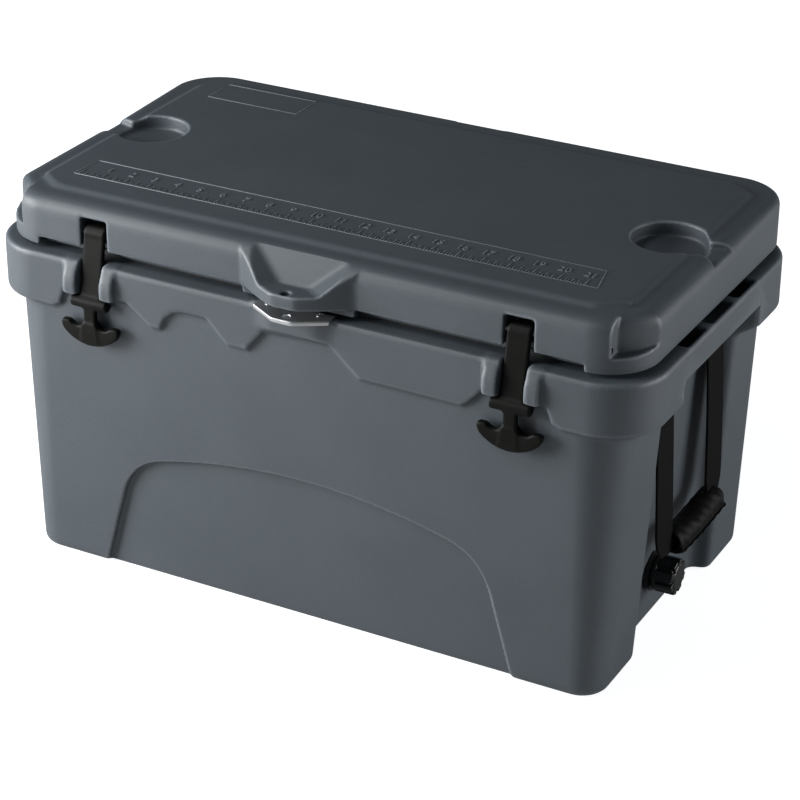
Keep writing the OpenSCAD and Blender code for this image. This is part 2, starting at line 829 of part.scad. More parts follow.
module handle_core_right() {
    half = webbing_y + webbing_width / 2;
    color("#2b2c2e") difference() {
        rod_y(-half + 2, half - 2, grip_x, grip_height, grip_radius - 5);
        rod_y(-half, half, grip_x, grip_height, grip_radius - 8);
    }
}

module handle_core_left() {
    mirror([1, 0, 0]) handle_core_right();
}

module handle_grip_right() {
    half = webbing_y + webbing_width / 2;
    color("#1b1c1e") difference() {
        rod_y(-half, half, grip_x, grip_height, grip_radius);
        rod_y(-half - 1, half + 1, grip_x, grip_height, grip_radius - 5);
    }
}

module handle_grip_left() {
    mirror([1, 0, 0]) handle_grip_right();
}

// ---- drain ----

module at_drain() {
    translate([0, -drain_y, drain_height]) rotate([0, 90, 0]) children();
}

module drain_bushing() {
    tube_in = nut_seat - nut_thickness - 3;
    color("#1d1e20") difference() {
        union() {
            at_drain() translate([0, 0, tube_in]) cylinder(drain_wall + 14 - tube_in, drain_tube, drain_tube);
            at_drain() translate([0, 0, drain_wall + 2]) cylinder(3, drain_cap_radius + 1, drain_cap_radius + 1);
        }
        at_drain() translate([0, 0, tube_in - 1]) cylinder(100, drain_bore, drain_bore);
    }
}

module drain_gasket() {
    color("#3a3b3d") difference() {
        at_drain() translate([0, 0, drain_face]) cylinder(drain_wall + 2 - drain_face, drain_cap_radius, drain_cap_radius);
        at_drain() translate([0, 0, drain_face - 1]) cylinder(6, drain_tube, drain_tube);
    }
}

module drain_nut() {
    color("#1d1e20") difference() {
        at_drain() translate([0, 0, nut_seat - nut_thickness])
            cylinder(nut_thickness, nut_radius, nut_radius, $fn = 6);
        at_drain() translate([0, 0, nut_seat - nut_thickness - 1])
            cylinder(nut_thickness + 2, drain_tube, drain_tube);
    }
}

module drain_cap_seal() {
    seat = drain_wall + 5 + drain_seat;
    color("#5a2a22") difference() {
        at_drain() translate([0, 0, seat]) cylinder(2, drain_tube + 2.2, drain_tube + 2.2);
        at_drain() translate([0, 0, seat - 1]) cylinder(4, drain_tube + 0.3, drain_tube + 0.3);
    }
}

// The cap's skirt drops over the tube; its outside is lobed for fingers.
module drain_cap() {
    face = drain_wall + 5 + drain_seat + 2;
    inner = drain_tube + 0.4;
    color("#1d1e20") difference() {
        at_drain() translate([0, 0, face]) cylinder(drain_cap_length, drain_cap_radius, drain_cap_radius);
        at_drain() translate([0, 0, face - 1]) cylinder(drain_cap_length - 5, inner, inner);
        for (k = [0 : 7]) at_drain() rotate([0, 0, 45 * k])
            translate([drain_cap_radius + 3.2, 0, face - 1]) cylinder(drain_cap_length + 2, 5, 5, $fn = 24);
    }
}

tub_shell();
tub_foam();
lid_shell();
lid_foam();
lid_gasket();
hinge_rod();
hinge_rod_caps();
latch_left();
latch_right();
latch_pin_left();
latch_pin_right();
lock_plate();
lock_plate_screws();
strap_bars_left();
strap_bars_right();
strap_loops_left();
strap_loops_right();
handle_straps_left();
handle_straps_right();
handle_core_left();
handle_core_right();
handle_grip_left();
handle_grip_right();
drain_bushing();
drain_gasket();
drain_nut();
drain_cap();
drain_cap_seal();
rubber_feet();
foot_screws();
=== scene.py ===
# %% [markdown]
# # A hard-sided cooler, finished around its CAD frame
# The CAD model gives every size, joint and fit. This lesson gives it its looks: soft moulded walls, rubber
# latches, woven straps and the finish of each material. Everything is in metres, in the same frame as the CAD.

# %% Load the frame
import math
import bpy
import numpy as np
from mathutils import Matrix, Vector


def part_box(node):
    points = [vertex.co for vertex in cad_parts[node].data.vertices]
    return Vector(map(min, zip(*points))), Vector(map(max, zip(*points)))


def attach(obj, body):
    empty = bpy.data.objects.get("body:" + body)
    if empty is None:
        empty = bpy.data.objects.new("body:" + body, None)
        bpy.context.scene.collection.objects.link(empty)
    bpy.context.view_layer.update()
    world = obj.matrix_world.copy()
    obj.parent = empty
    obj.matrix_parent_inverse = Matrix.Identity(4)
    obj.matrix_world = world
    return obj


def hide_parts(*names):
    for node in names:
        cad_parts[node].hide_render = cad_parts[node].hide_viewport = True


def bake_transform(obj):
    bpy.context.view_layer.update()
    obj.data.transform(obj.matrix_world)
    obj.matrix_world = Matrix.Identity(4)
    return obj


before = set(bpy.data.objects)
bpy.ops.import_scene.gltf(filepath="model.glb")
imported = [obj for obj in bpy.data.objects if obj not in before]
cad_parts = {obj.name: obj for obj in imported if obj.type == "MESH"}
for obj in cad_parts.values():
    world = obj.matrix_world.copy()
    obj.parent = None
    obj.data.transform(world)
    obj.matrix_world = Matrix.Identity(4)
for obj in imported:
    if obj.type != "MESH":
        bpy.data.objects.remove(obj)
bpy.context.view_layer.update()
MM = 0.001

# %% [markdown]
# Positions are read from the boxes of the CAD nodes, so that a change of size in the CAD model moves the
# pieces here too. They are kept in millimetres, the unit that the maker's drawings use.

# %% Read the main sizes
def box_mm(node):
    low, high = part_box(node)
    return np.array(low) / MM, np.array(high) / MM


loop_low, loop_high = box_mm("strap_bars_right")
latch_low, latch_high = box_mm("latch_right")
plate_low, plate_high = box_mm("lock_plate")
strap_low, strap_high = box_mm("handle_straps_right")
RIM_TOP = plate_low[2] + 4
TOP = box_mm("lid_shell")[1][2]
RIM_HX, RIM_HY = box_mm("tub_shell")[1][0], -plate_low[1] - 22
print(f"rim {2 * RIM_HX:.0f} x {2 * RIM_HY:.0f} mm, top face at {RIM_TOP:.0f} mm, whole height {TOP:.0f} mm")

# %% [markdown]
# ## Camera, floor and light
# A long lens from the front right, a little above, shows the front, the lid and one end together. The floor
# is pale and seamless. Large soft panels light the cooler, because satin plastic shows its form only through
# the broad highlights that such panels leave along its edges.

# %% Camera
CAMERA_AT = Vector((1.0926, -2.0479, 1.3409))
CAMERA_TURN, CAMERA_TILT, CAMERA_ROLL = (math.radians(a) for a in (27.855, 27.016, 0.471))
forward = Vector((-math.sin(CAMERA_TURN) * math.cos(CAMERA_TILT),
                  math.cos(CAMERA_TURN) * math.cos(CAMERA_TILT), -math.sin(CAMERA_TILT)))
level = Vector((math.cos(CAMERA_TURN), math.sin(CAMERA_TURN), 0))
upright = level.cross(forward)
right = level * math.cos(CAMERA_ROLL) + upright * math.sin(CAMERA_ROLL)
camera = bpy.data.objects.new("camera", bpy.data.cameras.new("camera"))
bpy.context.scene.collection.objects.link(camera)
camera.data.lens = 117.8
camera.matrix_world = Matrix.Translation(CAMERA_AT) @ Matrix(
    (right, right.cross(forward), -forward)).transposed().to_4x4()
bpy.context.scene.camera = camera
print("camera", round((CAMERA_AT - Vector((0, 0, 0.2))).length, 2), "m away")

# %% [markdown]
# Colours are written as sRGB hex values, as a designer picks them. Shaders work in linear light, so one
# function converts them. A second small function adds a shader node with its settings and its links.

# %% Colour and node helpers
def linear(hex_colour, alpha=1.0):
    channels = [int(hex_colour[i:i + 2], 16) / 255 for i in (1, 3, 5)]
    return tuple(c / 12.92 if c <= 0.04045 else ((c + 0.055) / 1.055) ** 2.4 for c in channels) + (alpha,)


def add(tree, kind, sockets=None, **settings):
    node = tree.nodes.new("ShaderNode" + kind)
    for name, value in settings.items():
        setattr(node, name, value)
    for name, value in (sockets or {}).items():
        if isinstance(value, bpy.types.NodeSocket):
            tree.links.new(value, node.inputs[name])
        else:
            node.inputs[name].default_value = value
    return node


print("slate in linear light:", [round(c, 3) for c in linear("#4b525a")[:3]])

# %% Floor, world and lamps
def shader(name):
    material = bpy.data.materials.new(name)
    material.use_nodes = True
    material.node_tree.nodes.clear()
    return material, material.node_tree


floor_finish, tree = shader("pale_floor")
paper = add(tree, "TexNoise", {"Scale": 3.0, "Detail": 3.0})
shade = add(tree, "MapRange", {"Value": paper.outputs[0], "To Min": 0.60, "To Max": 0.62})
coat = add(tree, "BsdfPrincipled", {"Base Color": shade.outputs[0], "Roughness": 0.75,
                                    "Specular IOR Level": 0.2})
glow = add(tree, "Emission", {"Color": linear("#f6f7f8"), "Strength": 0.92})
lifted = add(tree, "AddShader", {0: coat.outputs[0], 1: glow.outputs[0]})
seen = add(tree, "LightPath").outputs["Is Camera Ray"]
either = add(tree, "MixShader", {0: seen, 1: coat.outputs[0], 2: lifted.outputs[0]})
add(tree, "OutputMaterial", {"Surface": either.outputs[0]})
floor_mesh = bpy.data.meshes.new("floor")
floor_mesh.from_pydata([(-14, -14, 0), (14, -14, 0), (14, 14, 0), (-14, 14, 0)], [], [(0, 1, 2, 3)])
floor = bpy.data.objects.new("floor", floor_mesh)
bpy.context.scene.collection.objects.link(floor)
floor_mesh.materials.append(floor_finish)

world = bpy.data.worlds.new("studio")
bpy.context.scene.world = world
world.use_nodes = True
tree = world.node_tree
dim, = [n for n in tree.nodes if n.type == "BACKGROUND"]
dim.inputs["Color"].default_value, dim.inputs["Strength"].default_value = linear("#dfe5ea"), 0.10
bright = add(tree, "Background", {"Color": linear("#ffffff"), "Strength": 1.0})
seen = add(tree, "LightPath").outputs["Is Camera Ray"]
sky = add(tree, "MixShader", {0: seen, 1: dim.outputs[0], 2: bright.outputs[0]})
tree.links.new(sky.outputs[0], tree.nodes["World Output"].inputs["Surface"])


def soft_panel(name, place, aim, size, power):
    lamp = bpy.data.lights.new(name, "AREA")
    lamp.shape = "RECTANGLE"
    lamp.size, lamp.size_y = size
    lamp.energy = power
    panel = bpy.data.objects.new(name, lamp)
    panel.location = place
    panel.rotation_euler = (Vector(aim) - Vector(place)).to_track_quat("-Z", "Y").to_euler()
    bpy.context.scene.collection.objects.link(panel)
    return panel


soft_panel("key_panel", (-1.8, -1.2, 0.75), (-0.2, 0, 0.28), (1.1, 1.1), 76)
soft_panel("end_panel", (2.4, 0.7, 0.55), (0.3, 0, 0.2), (1.9, 1.0), 40)
soft_panel("top_panel", (-1.0, -1.1, 2.0), (0, 0, 0.3), (0.9, 0.4), 15)
bpy.context.scene.view_settings.view_transform = "Standard"

# %% [markdown]
# ## Finishes
# The body is rotationally moulded polyethylene: powder melts against a blasted steel mould and cools slowly,
# so its skin is satin, faintly pebbled and a little uneven in colour. Its sharpest raised edges get a painted
# highlight.
# It gets three layers: slow mottling of the pigment, an orange-peel swell a few millimetres wide, and the
# fine print of the mould's grit.

# %% Moulded polyethylene
def noise(tree, where, size_mm, detail=2.0, roughness=0.5):
    return add(tree, "TexNoise", {"Vector": where, "Scale": 1 / (size_mm * MM), "Detail": detail,
                                  "Roughness": roughness}).outputs[0]


def polyethylene():
    material, tree = shader("moulded_polyethylene")
    where = add(tree, "TexCoord").outputs["Object"]
    pigment = noise(tree, where, 70, 4)
    swell = noise(tree, where, 5)
    grit = noise(tree, where, 1.3, 3)
    mix = add(tree, "Mix", {0: pigment, 6: linear("#42494f"), 7: linear("#4c5359")}, data_type="RGBA")
    speck = add(tree, "MapRange", {"Value": grit, "From Min": 0.35, "From Max": 0.7,
                                   "To Min": 0.93, "To Max": 1.09})
    bare = add(tree, "Mix", {0: 1.0, 6: mix.outputs[2], 7: speck.outputs[0]},
               data_type="RGBA", blend_type="MULTIPLY")
    # Painted highlight: where Pointiness marks a sharp convex edge, the colour is lifted towards pale #8a9299.
    edge = add(tree, "MapRange", {"Value": add(tree, "NewGeometry").outputs["Pointiness"],
                                  "From Min": 0.51, "From Max": 0.55, "To Max": 0.42})
    edge_painted_highlight = add(tree, "Mix", {0: edge.outputs[0], 6: bare.outputs[2], 7: linear("#8a9299")}, data_type="RGBA")
    gloss = add(tree, "MapRange", {"Value": pigment, "To Min": 0.44, "To Max": 0.54})
    fine = add(tree, "Math", {0: grit, 1: 0.35}, operation="MULTIPLY")
    height = add(tree, "Math", {0: swell, 1: fine.outputs[0]}, operation="ADD")
    bump = add(tree, "Bump", {"Height": height.outputs[0], "Strength": 0.5, "Distance": 0.12 * MM})
    body = add(tree, "BsdfPrincipled", {"Base Color": edge_painted_highlight.outputs[2], "Roughness": gloss.outputs[0],
                                        "Normal": bump.outputs[0], "IOR": 1.5})
    add(tree, "OutputMaterial", {"Surface": body.outputs[0]})
    return material


slate = polyethylene()
print("made", slate.name)

# %% [markdown]
# Black pieces differ by surface and not by colour. Moulded nylon has a slight sheen and a fine spark-eroded
# texture. Latch rubber is duller, faintly olive, and picks up pale dust. Seal rubber is matt. Foam is hidden,
# but it has its own open-celled look for anyone who takes the shells apart.

# %% Rubber, nylon and foam
def plain_moulding(name, dark, light, rough, grain_mm, depth_mm, dust=0.0, gloss_level=0.5):
    material, tree = shader(name)
    where = add(tree, "TexCoord").outputs["Object"]
    cloud = noise(tree, where, 18, 3)
    grain = noise(tree, where, grain_mm, 3)
    tint = add(tree, "Mix", {0: cloud, 6: linear(dark), 7: linear(light)}, data_type="RGBA")
    film = add(tree, "MapRange", {"Value": noise(tree, where, 7, 5), "From Min": 0.5, "From Max": 0.8,
                                  "To Max": dust})
    dusted = add(tree, "Mix", {0: film.outputs[0], 6: tint.outputs[2], 7: linear("#6a6a64")}, data_type="RGBA")
    gloss = add(tree, "MapRange", {"Value": cloud, "To Min": rough - 0.06, "To Max": rough + 0.08})
    bump = add(tree, "Bump", {"Height": grain, "Strength": 0.6, "Distance": depth_mm * MM})
    body = add(tree, "BsdfPrincipled", {"Base Color": dusted.outputs[2], "Roughness": gloss.outputs[0],
                                        "Normal": bump.outputs[0], "Specular IOR Level": gloss_level})
    add(tree, "OutputMaterial", {"Surface": body.outputs[0]})
    return material


nylon = plain_moulding("moulded_nylon", "#08090a", "#111213", 0.33, 0.9, 0.05)
latch_rubber = plain_moulding("latch_rubber", "#070806", "#0f100d", 0.46, 1.1, 0.06, 0.015, 0.12)
seal_rubber = plain_moulding("seal_rubber", "#1b1c1d", "#242526", 0.68, 1.4, 0.08, 0.08)
foam = plain_moulding("insulating_foam", "#c9b877", "#dccf98", 0.85, 1.6, 0.5)
print("made", nylon.name, latch_rubber.name, seal_rubber.name, foam.name)

# %% [markdown]
# The lock plate, pins and rods are brushed stainless steel. Brushing leaves fine parallel scratches, so the
# roughness and the bump are stretched noise: long along the grain and a fraction of a millimetre across it.

# %% Brushed stainless steel
def stainless():
    material, tree = shader("brushed_stainless")
    where = add(tree, "TexCoord").outputs["Object"]
    along = add(tree, "Mapping", {"Vector": where, "Scale": (0.03, 1.0, 1.0)}).outputs[0]
    scratch = noise(tree, along, 0.45, 3)
    cloud = noise(tree, where, 12, 3)
    tint = add(tree, "Mix", {0: cloud, 6: linear("#b4b6b8"), 7: linear("#d2d3d4")}, data_type="RGBA")
    gloss = add(tree, "MapRange", {"Value": scratch, "To Min": 0.32, "To Max": 0.50})
    bump = add(tree, "Bump", {"Height": scratch, "Strength": 0.35, "Distance": 0.03 * MM})
    body = add(tree, "BsdfPrincipled", {"Base Color": tint.outputs[2], "Roughness": gloss.outputs[0],
                                        "Normal": bump.outputs[0], "Metallic": 1.0})
    add(tree, "OutputMaterial", {"Surface": body.outputs[0]})
    return material


steel = stainless()
print("made", steel.name)

# %% [markdown]
# The straps are woven polyester webbing and the grip is a padded sleeve with a nylon face. Both are threads
# over threads: two crossed waves give the weave. The thread spacing is about 1.5 mm on the real webbing; it is
# drawn at 2.2 mm, as coarse as it needs to be to show.

# %% Woven webbing and grip cloth
def woven(name, thread_mm, dark, light, rough, depth_mm):
    material, tree = shader(name)
    where = add(tree, "TexCoord").outputs["Object"]
    waves = [add(tree, "TexWave", {"Vector": where, "Scale": 1 / (thread_mm * MM) / 3.2, "Distortion": 0.6,
                                   "Detail": 1.0, "Detail Scale": 2.0}, bands_direction=axis).outputs[1]
             for axis in ("Y", "Z")]
    weave = add(tree, "Math", {0: waves[0], 1: waves[1]}, operation="MULTIPLY")
    fuzz = noise(tree, where, 0.8, 4)
    height = add(tree, "Math", {0: weave.outputs[0], 1: fuzz}, operation="ADD")
    tone = add(tree, "MapRange", {"Value": height.outputs[0], "From Min": 0.3, "From Max": 1.5})
    tint = add(tree, "Mix", {0: tone.outputs[0], 6: linear(dark), 7: linear(light)}, data_type="RGBA")
    bump = add(tree, "Bump", {"Height": height.outputs[0], "Strength": 0.8, "Distance": depth_mm * MM})
    body = add(tree, "BsdfPrincipled", {"Base Color": tint.outputs[2], "Roughness": rough,
                                        "Normal": bump.outputs[0], "Specular IOR Level": 0.12})
    add(tree, "OutputMaterial", {"Surface": body.outputs[0]})
    return material


webbing = woven("woven_webbing", 2.2, "#030304", "#0d0d0e", 0.85, 0.35)
grip_cloth = woven("grip_cloth", 1.4, "#050506", "#0f0f10", 0.50, 0.18)
print("made", webbing.name, grip_cloth.name)

# %% [markdown]
# ## Moulded shapes from distance fields
# A rotomoulded wall has no sharp edge: every corner and every hollow flows into the next with a radius. Bevels
# on a CAD mesh break where many cuts meet, and a subdivision cage for such a shape takes hundreds of loops. So
# the moulded pieces are described by distance: a function says how far each point is from the surface, and
# joining or cutting two shapes blends them over a chosen length. A grid of samples then becomes a mesh, with
# one vertex in each cell that the surface crosses.

# %% Distance field helpers
def join(a, b, k):
    h = np.maximum(k - np.abs(a - b), 0)
    return np.minimum(a, b) - h * h / (4 * k)


def meet(a, b, k):
    return -join(-a, -b, k)


def slab(v, low, high):
    return np.maximum(low - v, v - high)


def rounded_rect(x, y, hx, hy, r):
    qx, qy = np.abs(x) - hx + r, np.abs(y) - hy + r
    return np.hypot(np.maximum(qx, 0), np.maximum(qy, 0)) + np.minimum(np.maximum(qx, qy), 0) - r


class Field:
    """Distances in millimetres on a grid between two corners."""

    def __init__(self, low, high, step):
        self.low, self.step = np.array(low, float), step
        counts = np.ceil((np.array(high) - self.low) / step).astype(int) + 1
        lines = [(self.low[i] + step * np.arange(counts[i])).astype(np.float32) for i in range(3)]
        self.x, self.y, self.z = (line.reshape([-1 if i == j else 1 for j in range(3)])
                                  for i, line in enumerate(lines))
        self.d = np.full(counts, 1e3, np.float32)

    def start(self, shape):
        self.d = np.broadcast_to(shape, self.d.shape).astype(np.float32).copy()

    def change(self, low, high, shape, k, cut):
        n = self.d.shape
        a = np.clip(np.floor((np.array(low) - self.low) / self.step).astype(int), 0, n)
        b = np.clip(np.ceil((np.array(high) - self.low) / self.step).astype(int) + 1, 0, n)
        window = tuple(slice(i, j) for i, j in zip(a, b))
        tool = shape(self.x[window[0]], self.y[:, window[1]], self.z[:, :, window[2]])
        here = self.d[window]
        self.d[window] = meet(here, -tool, k) if cut else join(here, tool, k)

    def add(self, low, high, k, shape):
        self.change(low, high, shape, k, False)

    def carve(self, low, high, k, shape):
        self.change(low, high, shape, k, True)


# %% Turn a field into a mesh
def skin_of(field, name):
    d, n = field.d, np.array(field.d.shape)
    inside = d < 0
    corners = [np.array(c) for c in np.ndindex(2, 2, 2)]
    count = sum(inside[tuple(slice(c[i], n[i] - 1 + c[i]) for i in range(3))].astype(np.int8) for c in corners)
    cells = np.argwhere((count > 0) & (count < 8))
    strides = np.array([n[1] * n[2], n[2], 1])
    flat, values = cells @ strides, d.ravel()
    total, hits = np.zeros((len(cells), 3)), np.zeros(len(cells))
    for c in corners:
        for axis in range(3):
            if c[axis]:
                continue
            va = values[flat + c @ strides]
            vb = values[flat + c @ strides + strides[axis]]
            crosses = (va < 0) != (vb < 0)
            point = np.repeat(c[None].astype(float), crosses.sum(), 0)
            point[:, axis] += va[crosses] / (va[crosses] - vb[crosses])
            total[crosses] += point
            hits[crosses] += 1
    points = (field.low + field.step * (cells + total / hits[:, None])) * MM
    number = np.full(n - 1, -1, np.int32)
    number[tuple(cells.T)] = np.arange(len(cells))
    quads = []
    for axis in range(3):
        u, v = (axis + 1) % 3, (axis + 2) % 3
        a = inside[tuple(slice(0, -1) if i == axis else slice(1, -1) for i in range(3))]
        b = inside[tuple(slice(1, None) if i == axis else slice(1, -1) for i in range(3))]
        edge = np.argwhere(a != b)
        outward = a[tuple(edge.T)]
        edge[:, u] += 1
        edge[:, v] += 1
        eu, ev = np.eye(3, dtype=int)[u], np.eye(3, dtype=int)[v]
        ring = np.stack([number[tuple((edge - s).T)] for s in (eu + ev, ev, 0 * eu, eu)], 1)
        ring[~outward] = ring[~outward][:, ::-1]
        quads.append(ring)
    quads = np.concatenate(quads)
    return mesh_from(name, points, quads)


def mesh_from(name, points, quads):
    mesh = bpy.data.meshes.new(name)
    mesh.vertices.add(len(points))
    mesh.vertices.foreach_set("co", np.asarray(points, np.float32).ravel())
    mesh.loops.add(quads.size)
    mesh.loops.foreach_set("vertex_index", quads.astype(np.int32).ravel())
    mesh.polygons.add(len(quads))
    mesh.polygons.foreach_set("loop_start", np.arange(0, quads.size, quads.shape[1], dtype=np.int32))
    mesh.polygons.foreach_set("use_smooth", np.ones(len(quads), bool))
    mesh.update(calc_edges=True)
    mesh.validate()
    return mesh


# %% [markdown]
# A field's mesh has small faces everywhere, also where the wall is flat. Collapsing edges thins those out and
# keeps the round places. Normals weighted by face area then keep the big flat faces truly flat to the light.

# %% Piece helpers
def thin_out(piece, faces):
    if len(piece.data.polygons) * 2 <= faces:
        return
    fewer = piece.modifiers.new("fewer_faces", "DECIMATE")
    fewer.ratio = faces / (len(piece.data.polygons) * 2)
    evaluated = piece.evaluated_get(bpy.context.evaluated_depsgraph_get())
    mesh = bpy.data.meshes.new_from_object(evaluated)
    piece.modifiers.clear()
    piece.data = mesh
    mesh.polygons.foreach_set("use_smooth", np.ones(len(mesh.polygons), bool))


def piece_of(mesh, body, material, slot, *nodes, faces=None, flat_first=False):
    piece = bpy.data.objects.new(mesh.name, mesh)
    bpy.context.scene.collection.objects.link(piece)
    if faces:
        thin_out(piece, faces)
    piece.data.materials.clear()
    piece.data.materials.append(material)
    if flat_first:
        piece.modifiers.new("flat_faces_first", "WEIGHTED_NORMAL").weight = 60
    if body:
        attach(piece, body)
    if nodes:
        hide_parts(*nodes)
    print(f"{piece.name}: {len(piece.data.polygons)} faces")
    return piece


# %% [markdown]
# ## The tub
# The walls lean outwards from the base so that the part leaves its mould, and round off more at the top than
# at the foot. The rim band stands proud of them. Its lower edge waves along the front, where it lifts over
# each latch and over the lock plate. An arched panel is sunk into the front and a bay into each end, which
# makes room for the hanging handle.

# %% Sizes of the tub
END_OVERHANG, FRONT_OVERHANG = 20, 6
END_DRAFT, FRONT_DRAFT = 14, 3
FOOT, BAND = 0.6, 52
WALL_TOP = RIM_TOP - BAND
WALL_HX, WALL_HY = RIM_HX - END_OVERHANG, RIM_HY - FRONT_OVERHANG
BASE_HX, BASE_HY = WALL_HX - END_DRAFT, WALL_HY - FRONT_DRAFT
LATCH_X = (latch_low[0] + latch_high[0]) / 2
EAR_LOW, EAR_FRONT = RIM_TOP - 33, -RIM_HY - 8
GATE = 13
HINGE_Y, HINGE_Z, KNUCKLE = RIM_HY + 13, RIM_TOP + 2, 9
HINGE_LENGTH, KNUCKLES = 560, 9
PITCH = HINGE_LENGTH / KNUCKLES
WEBBING_Y, WEBBING_WIDTH = 60, 38
POCKET = WEBBING_WIDTH / 2 + 3
DRAIN_Y, DRAIN_Z = -20, 56
print(f"walls {2 * WALL_HX:.0f} x {2 * WALL_HY:.0f} mm under the rim, {2 * BASE_HX:.0f} mm long at the base")


def lean(z):
    return np.clip((z - FOOT) / (WALL_TOP - FOOT), 0, 1)


def band_edge(x, y):
    wave_x = [-268, -260, -254, -184, -158, -147, -141, -132, -122, -95, -84, -73, -52, -33,
              36, 66, 171, 179, 192, 254, 260, 268]
    wave_z = [0, 4, 18, 21, 2, 2, 14, 22, 25, 25, 14, 3, 3, 26,
              28, 1, 0, 6, 20, 18, 4, 0]
    front = np.interp(x, wave_x, wave_z)
    return WALL_TOP + front * (y < -RIM_HY + 40)


# %% Walls, rim and chamber
step = 2.0
tub = Field((-RIM_HX - 6, -RIM_HY - 14, -4), (RIM_HX + 6, RIM_HY + 30, RIM_TOP + 16), step)
x, y, z = tub.x, tub.y, tub.z
t = lean(z)
walls = rounded_rect(x, y, BASE_HX + END_DRAFT * t, BASE_HY + FRONT_DRAFT * t, 28 + 18 * t)
walls = meet(meet(walls, FOOT - z, 9), z - RIM_TOP + 8, 2)
rim = rounded_rect(x, y, RIM_HX, RIM_HY, 56)
under = (band_edge(x, y) + 0.6 * rim - z) / 1.17
band = meet(meet(rim, z - RIM_TOP, 5), under, 3)
tub.start(join(walls, band, 3))
chamber = rounded_rect(x, y, 268 + 6 * z / RIM_TOP, 136 + 6 * z / RIM_TOP, 36)
tub.d = meet(tub.d, -meet(chamber, 46 - z, 22), 5)


def arch(x, y, z):
    rise, shoulder, foot = 153 - 122, 190, 225
    radius = (shoulder ** 2 + rise ** 2) / (2 * rise)
    crown = np.hypot(x, z - 153 + radius) - radius
    slope = (foot - shoulder) / 122
    legs = (np.abs(x) - foot + slope * z) / math.hypot(1, slope)
    return meet(meet(crown, legs, 30), y + BASE_HY + FRONT_DRAFT * lean(z) - 7, 3)


tub.carve((-240, -RIM_HY, -4), (240, -RIM_HY + 26, 170), 2, arch)


def bay(x, y, z):
    inward = BASE_HX + END_DRAFT * lean(z) - np.abs(x)
    side = np.abs(y) - 94 + 9 * np.clip(z / 300, 0, 1) + 0.3 * inward
    return meet(meet(side, z - 300, 4), inward - 19.5, 9)


for s in (-1, 1):
    ends = sorted((s * 270, s * (RIM_HX - 3)))
    tub.carve((ends[0], -110, -4), (ends[1], 110, 306), 7, bay)
print("tub grid", tub.d.shape)

# %% [markdown]
# Two humps stand out of the band beside each latch. They keep the rubber strap in line and its T bar catches
# under them. The gap between them runs into the rim so that the strap lies flat.

# %% Keeper ears, gates and the nose under the lock plate
for side in (-1, 1):
    for hand in (-1, 1):
        centre = side * LATCH_X + hand * (GATE + 7.5)

        def ear(x, y, z):
            hump = np.hypot(y - EAR_FRONT - 30, z - EAR_LOW - 9) - 30
            return meet(meet(hump, slab(x, centre - 7.5, centre + 7.5), 2.5), slab(z, EAR_LOW, RIM_TOP), 2.5)

        tub.add((centre - 14, -RIM_HY - 14, EAR_LOW - 8), (centre + 14, -RIM_HY + 14, RIM_TOP + 8), 3, ear)

    def gate(x, y, z):
        return meet(meet(np.abs(x - side * LATCH_X) - GATE, y + RIM_HY - 11, 3), EAR_LOW + 1 - z, 3)

    tub.carve((side * LATCH_X - 18, -RIM_HY - 14, EAR_LOW - 4),
              (side * LATCH_X + 18, -RIM_HY + 14, RIM_TOP + 9), 2, gate)


def nose(x, y, z):
    flank = (np.abs(x) - 36 - 2.4 * (y + RIM_HY)) / 2.6
    return meet(meet(flank, -RIM_HY - 4 - y, 3), slab(z, RIM_TOP - 22, RIM_TOP), 3)


tub.add((-44, -RIM_HY - 8, RIM_TOP - 28), (44, -RIM_HY + 6, RIM_TOP + 3), 4, nose)
print("ears at", [round(s * LATCH_X + h * (GATE + 7.5)) for s in (-1, 1) for h in (-1, 1)])

# %% Strap pockets in the ends of the rim, drain seat and foot sockets
for side in (-1, 1):
    for hand in (-1, 1):
        def pocket(x, y, z):
            across = np.abs(y - hand * WEBBING_Y) - POCKET
            well = meet(meet(across, slab(side * x, RIM_HX - 24, RIM_HX - 4.4), 3), RIM_TOP - 15 - z, 2)
            throat = meet(across, slab(side * x, RIM_HX - 37, RIM_HX - 6), 2)
            throat = meet(throat, slab(z, 290, RIM_TOP - 12), 2)
            return np.minimum(well, throat)

        ends = sorted((side * (RIM_HX - 42), side * RIM_HX))
        tub.carve((ends[0], hand * WEBBING_Y - 26, 288),
                  (ends[1], hand * WEBBING_Y + 26, RIM_TOP + 9), 2, pocket)

    def dip(x, y, z):
        return meet(meet(np.abs(y) - 26, slab(side * x, RIM_HX - 24, RIM_HX - 4.4), 3), RIM_TOP - 8 - z, 3)

    ends = sorted((side * (RIM_HX - 30), side * RIM_HX))
    tub.carve((ends[0], -32, RIM_TOP - 12), (ends[1], 32, RIM_TOP + 9), 2, dip)

    for hand in (-1, 1):
        def socket(x, y, z):
            return np.maximum(np.hypot(x - side * (BASE_HX - 47), y - hand * (BASE_HY - 48)) - 20.5, z - 7)

        at = np.array([side * (BASE_HX - 47), hand * (BASE_HY - 48), 4])
        tub.carve(at - 28, at + 28, 1, socket)

DRAIN_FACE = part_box("drain_gasket")[0].x / MM


def drain(x, y, z):
    off = np.hypot(y - DRAIN_Y, z - DRAIN_Z)
    seat = meet(off - 20.5, DRAIN_FACE - x, 1)
    return np.minimum(seat, np.minimum(off - 13, meet(off - 18.5, x - 269, 1)))


tub.carve((236, DRAIN_Y - 26, DRAIN_Z - 26), (RIM_HX, DRAIN_Y + 26, DRAIN_Z + 26), 1.5, drain)

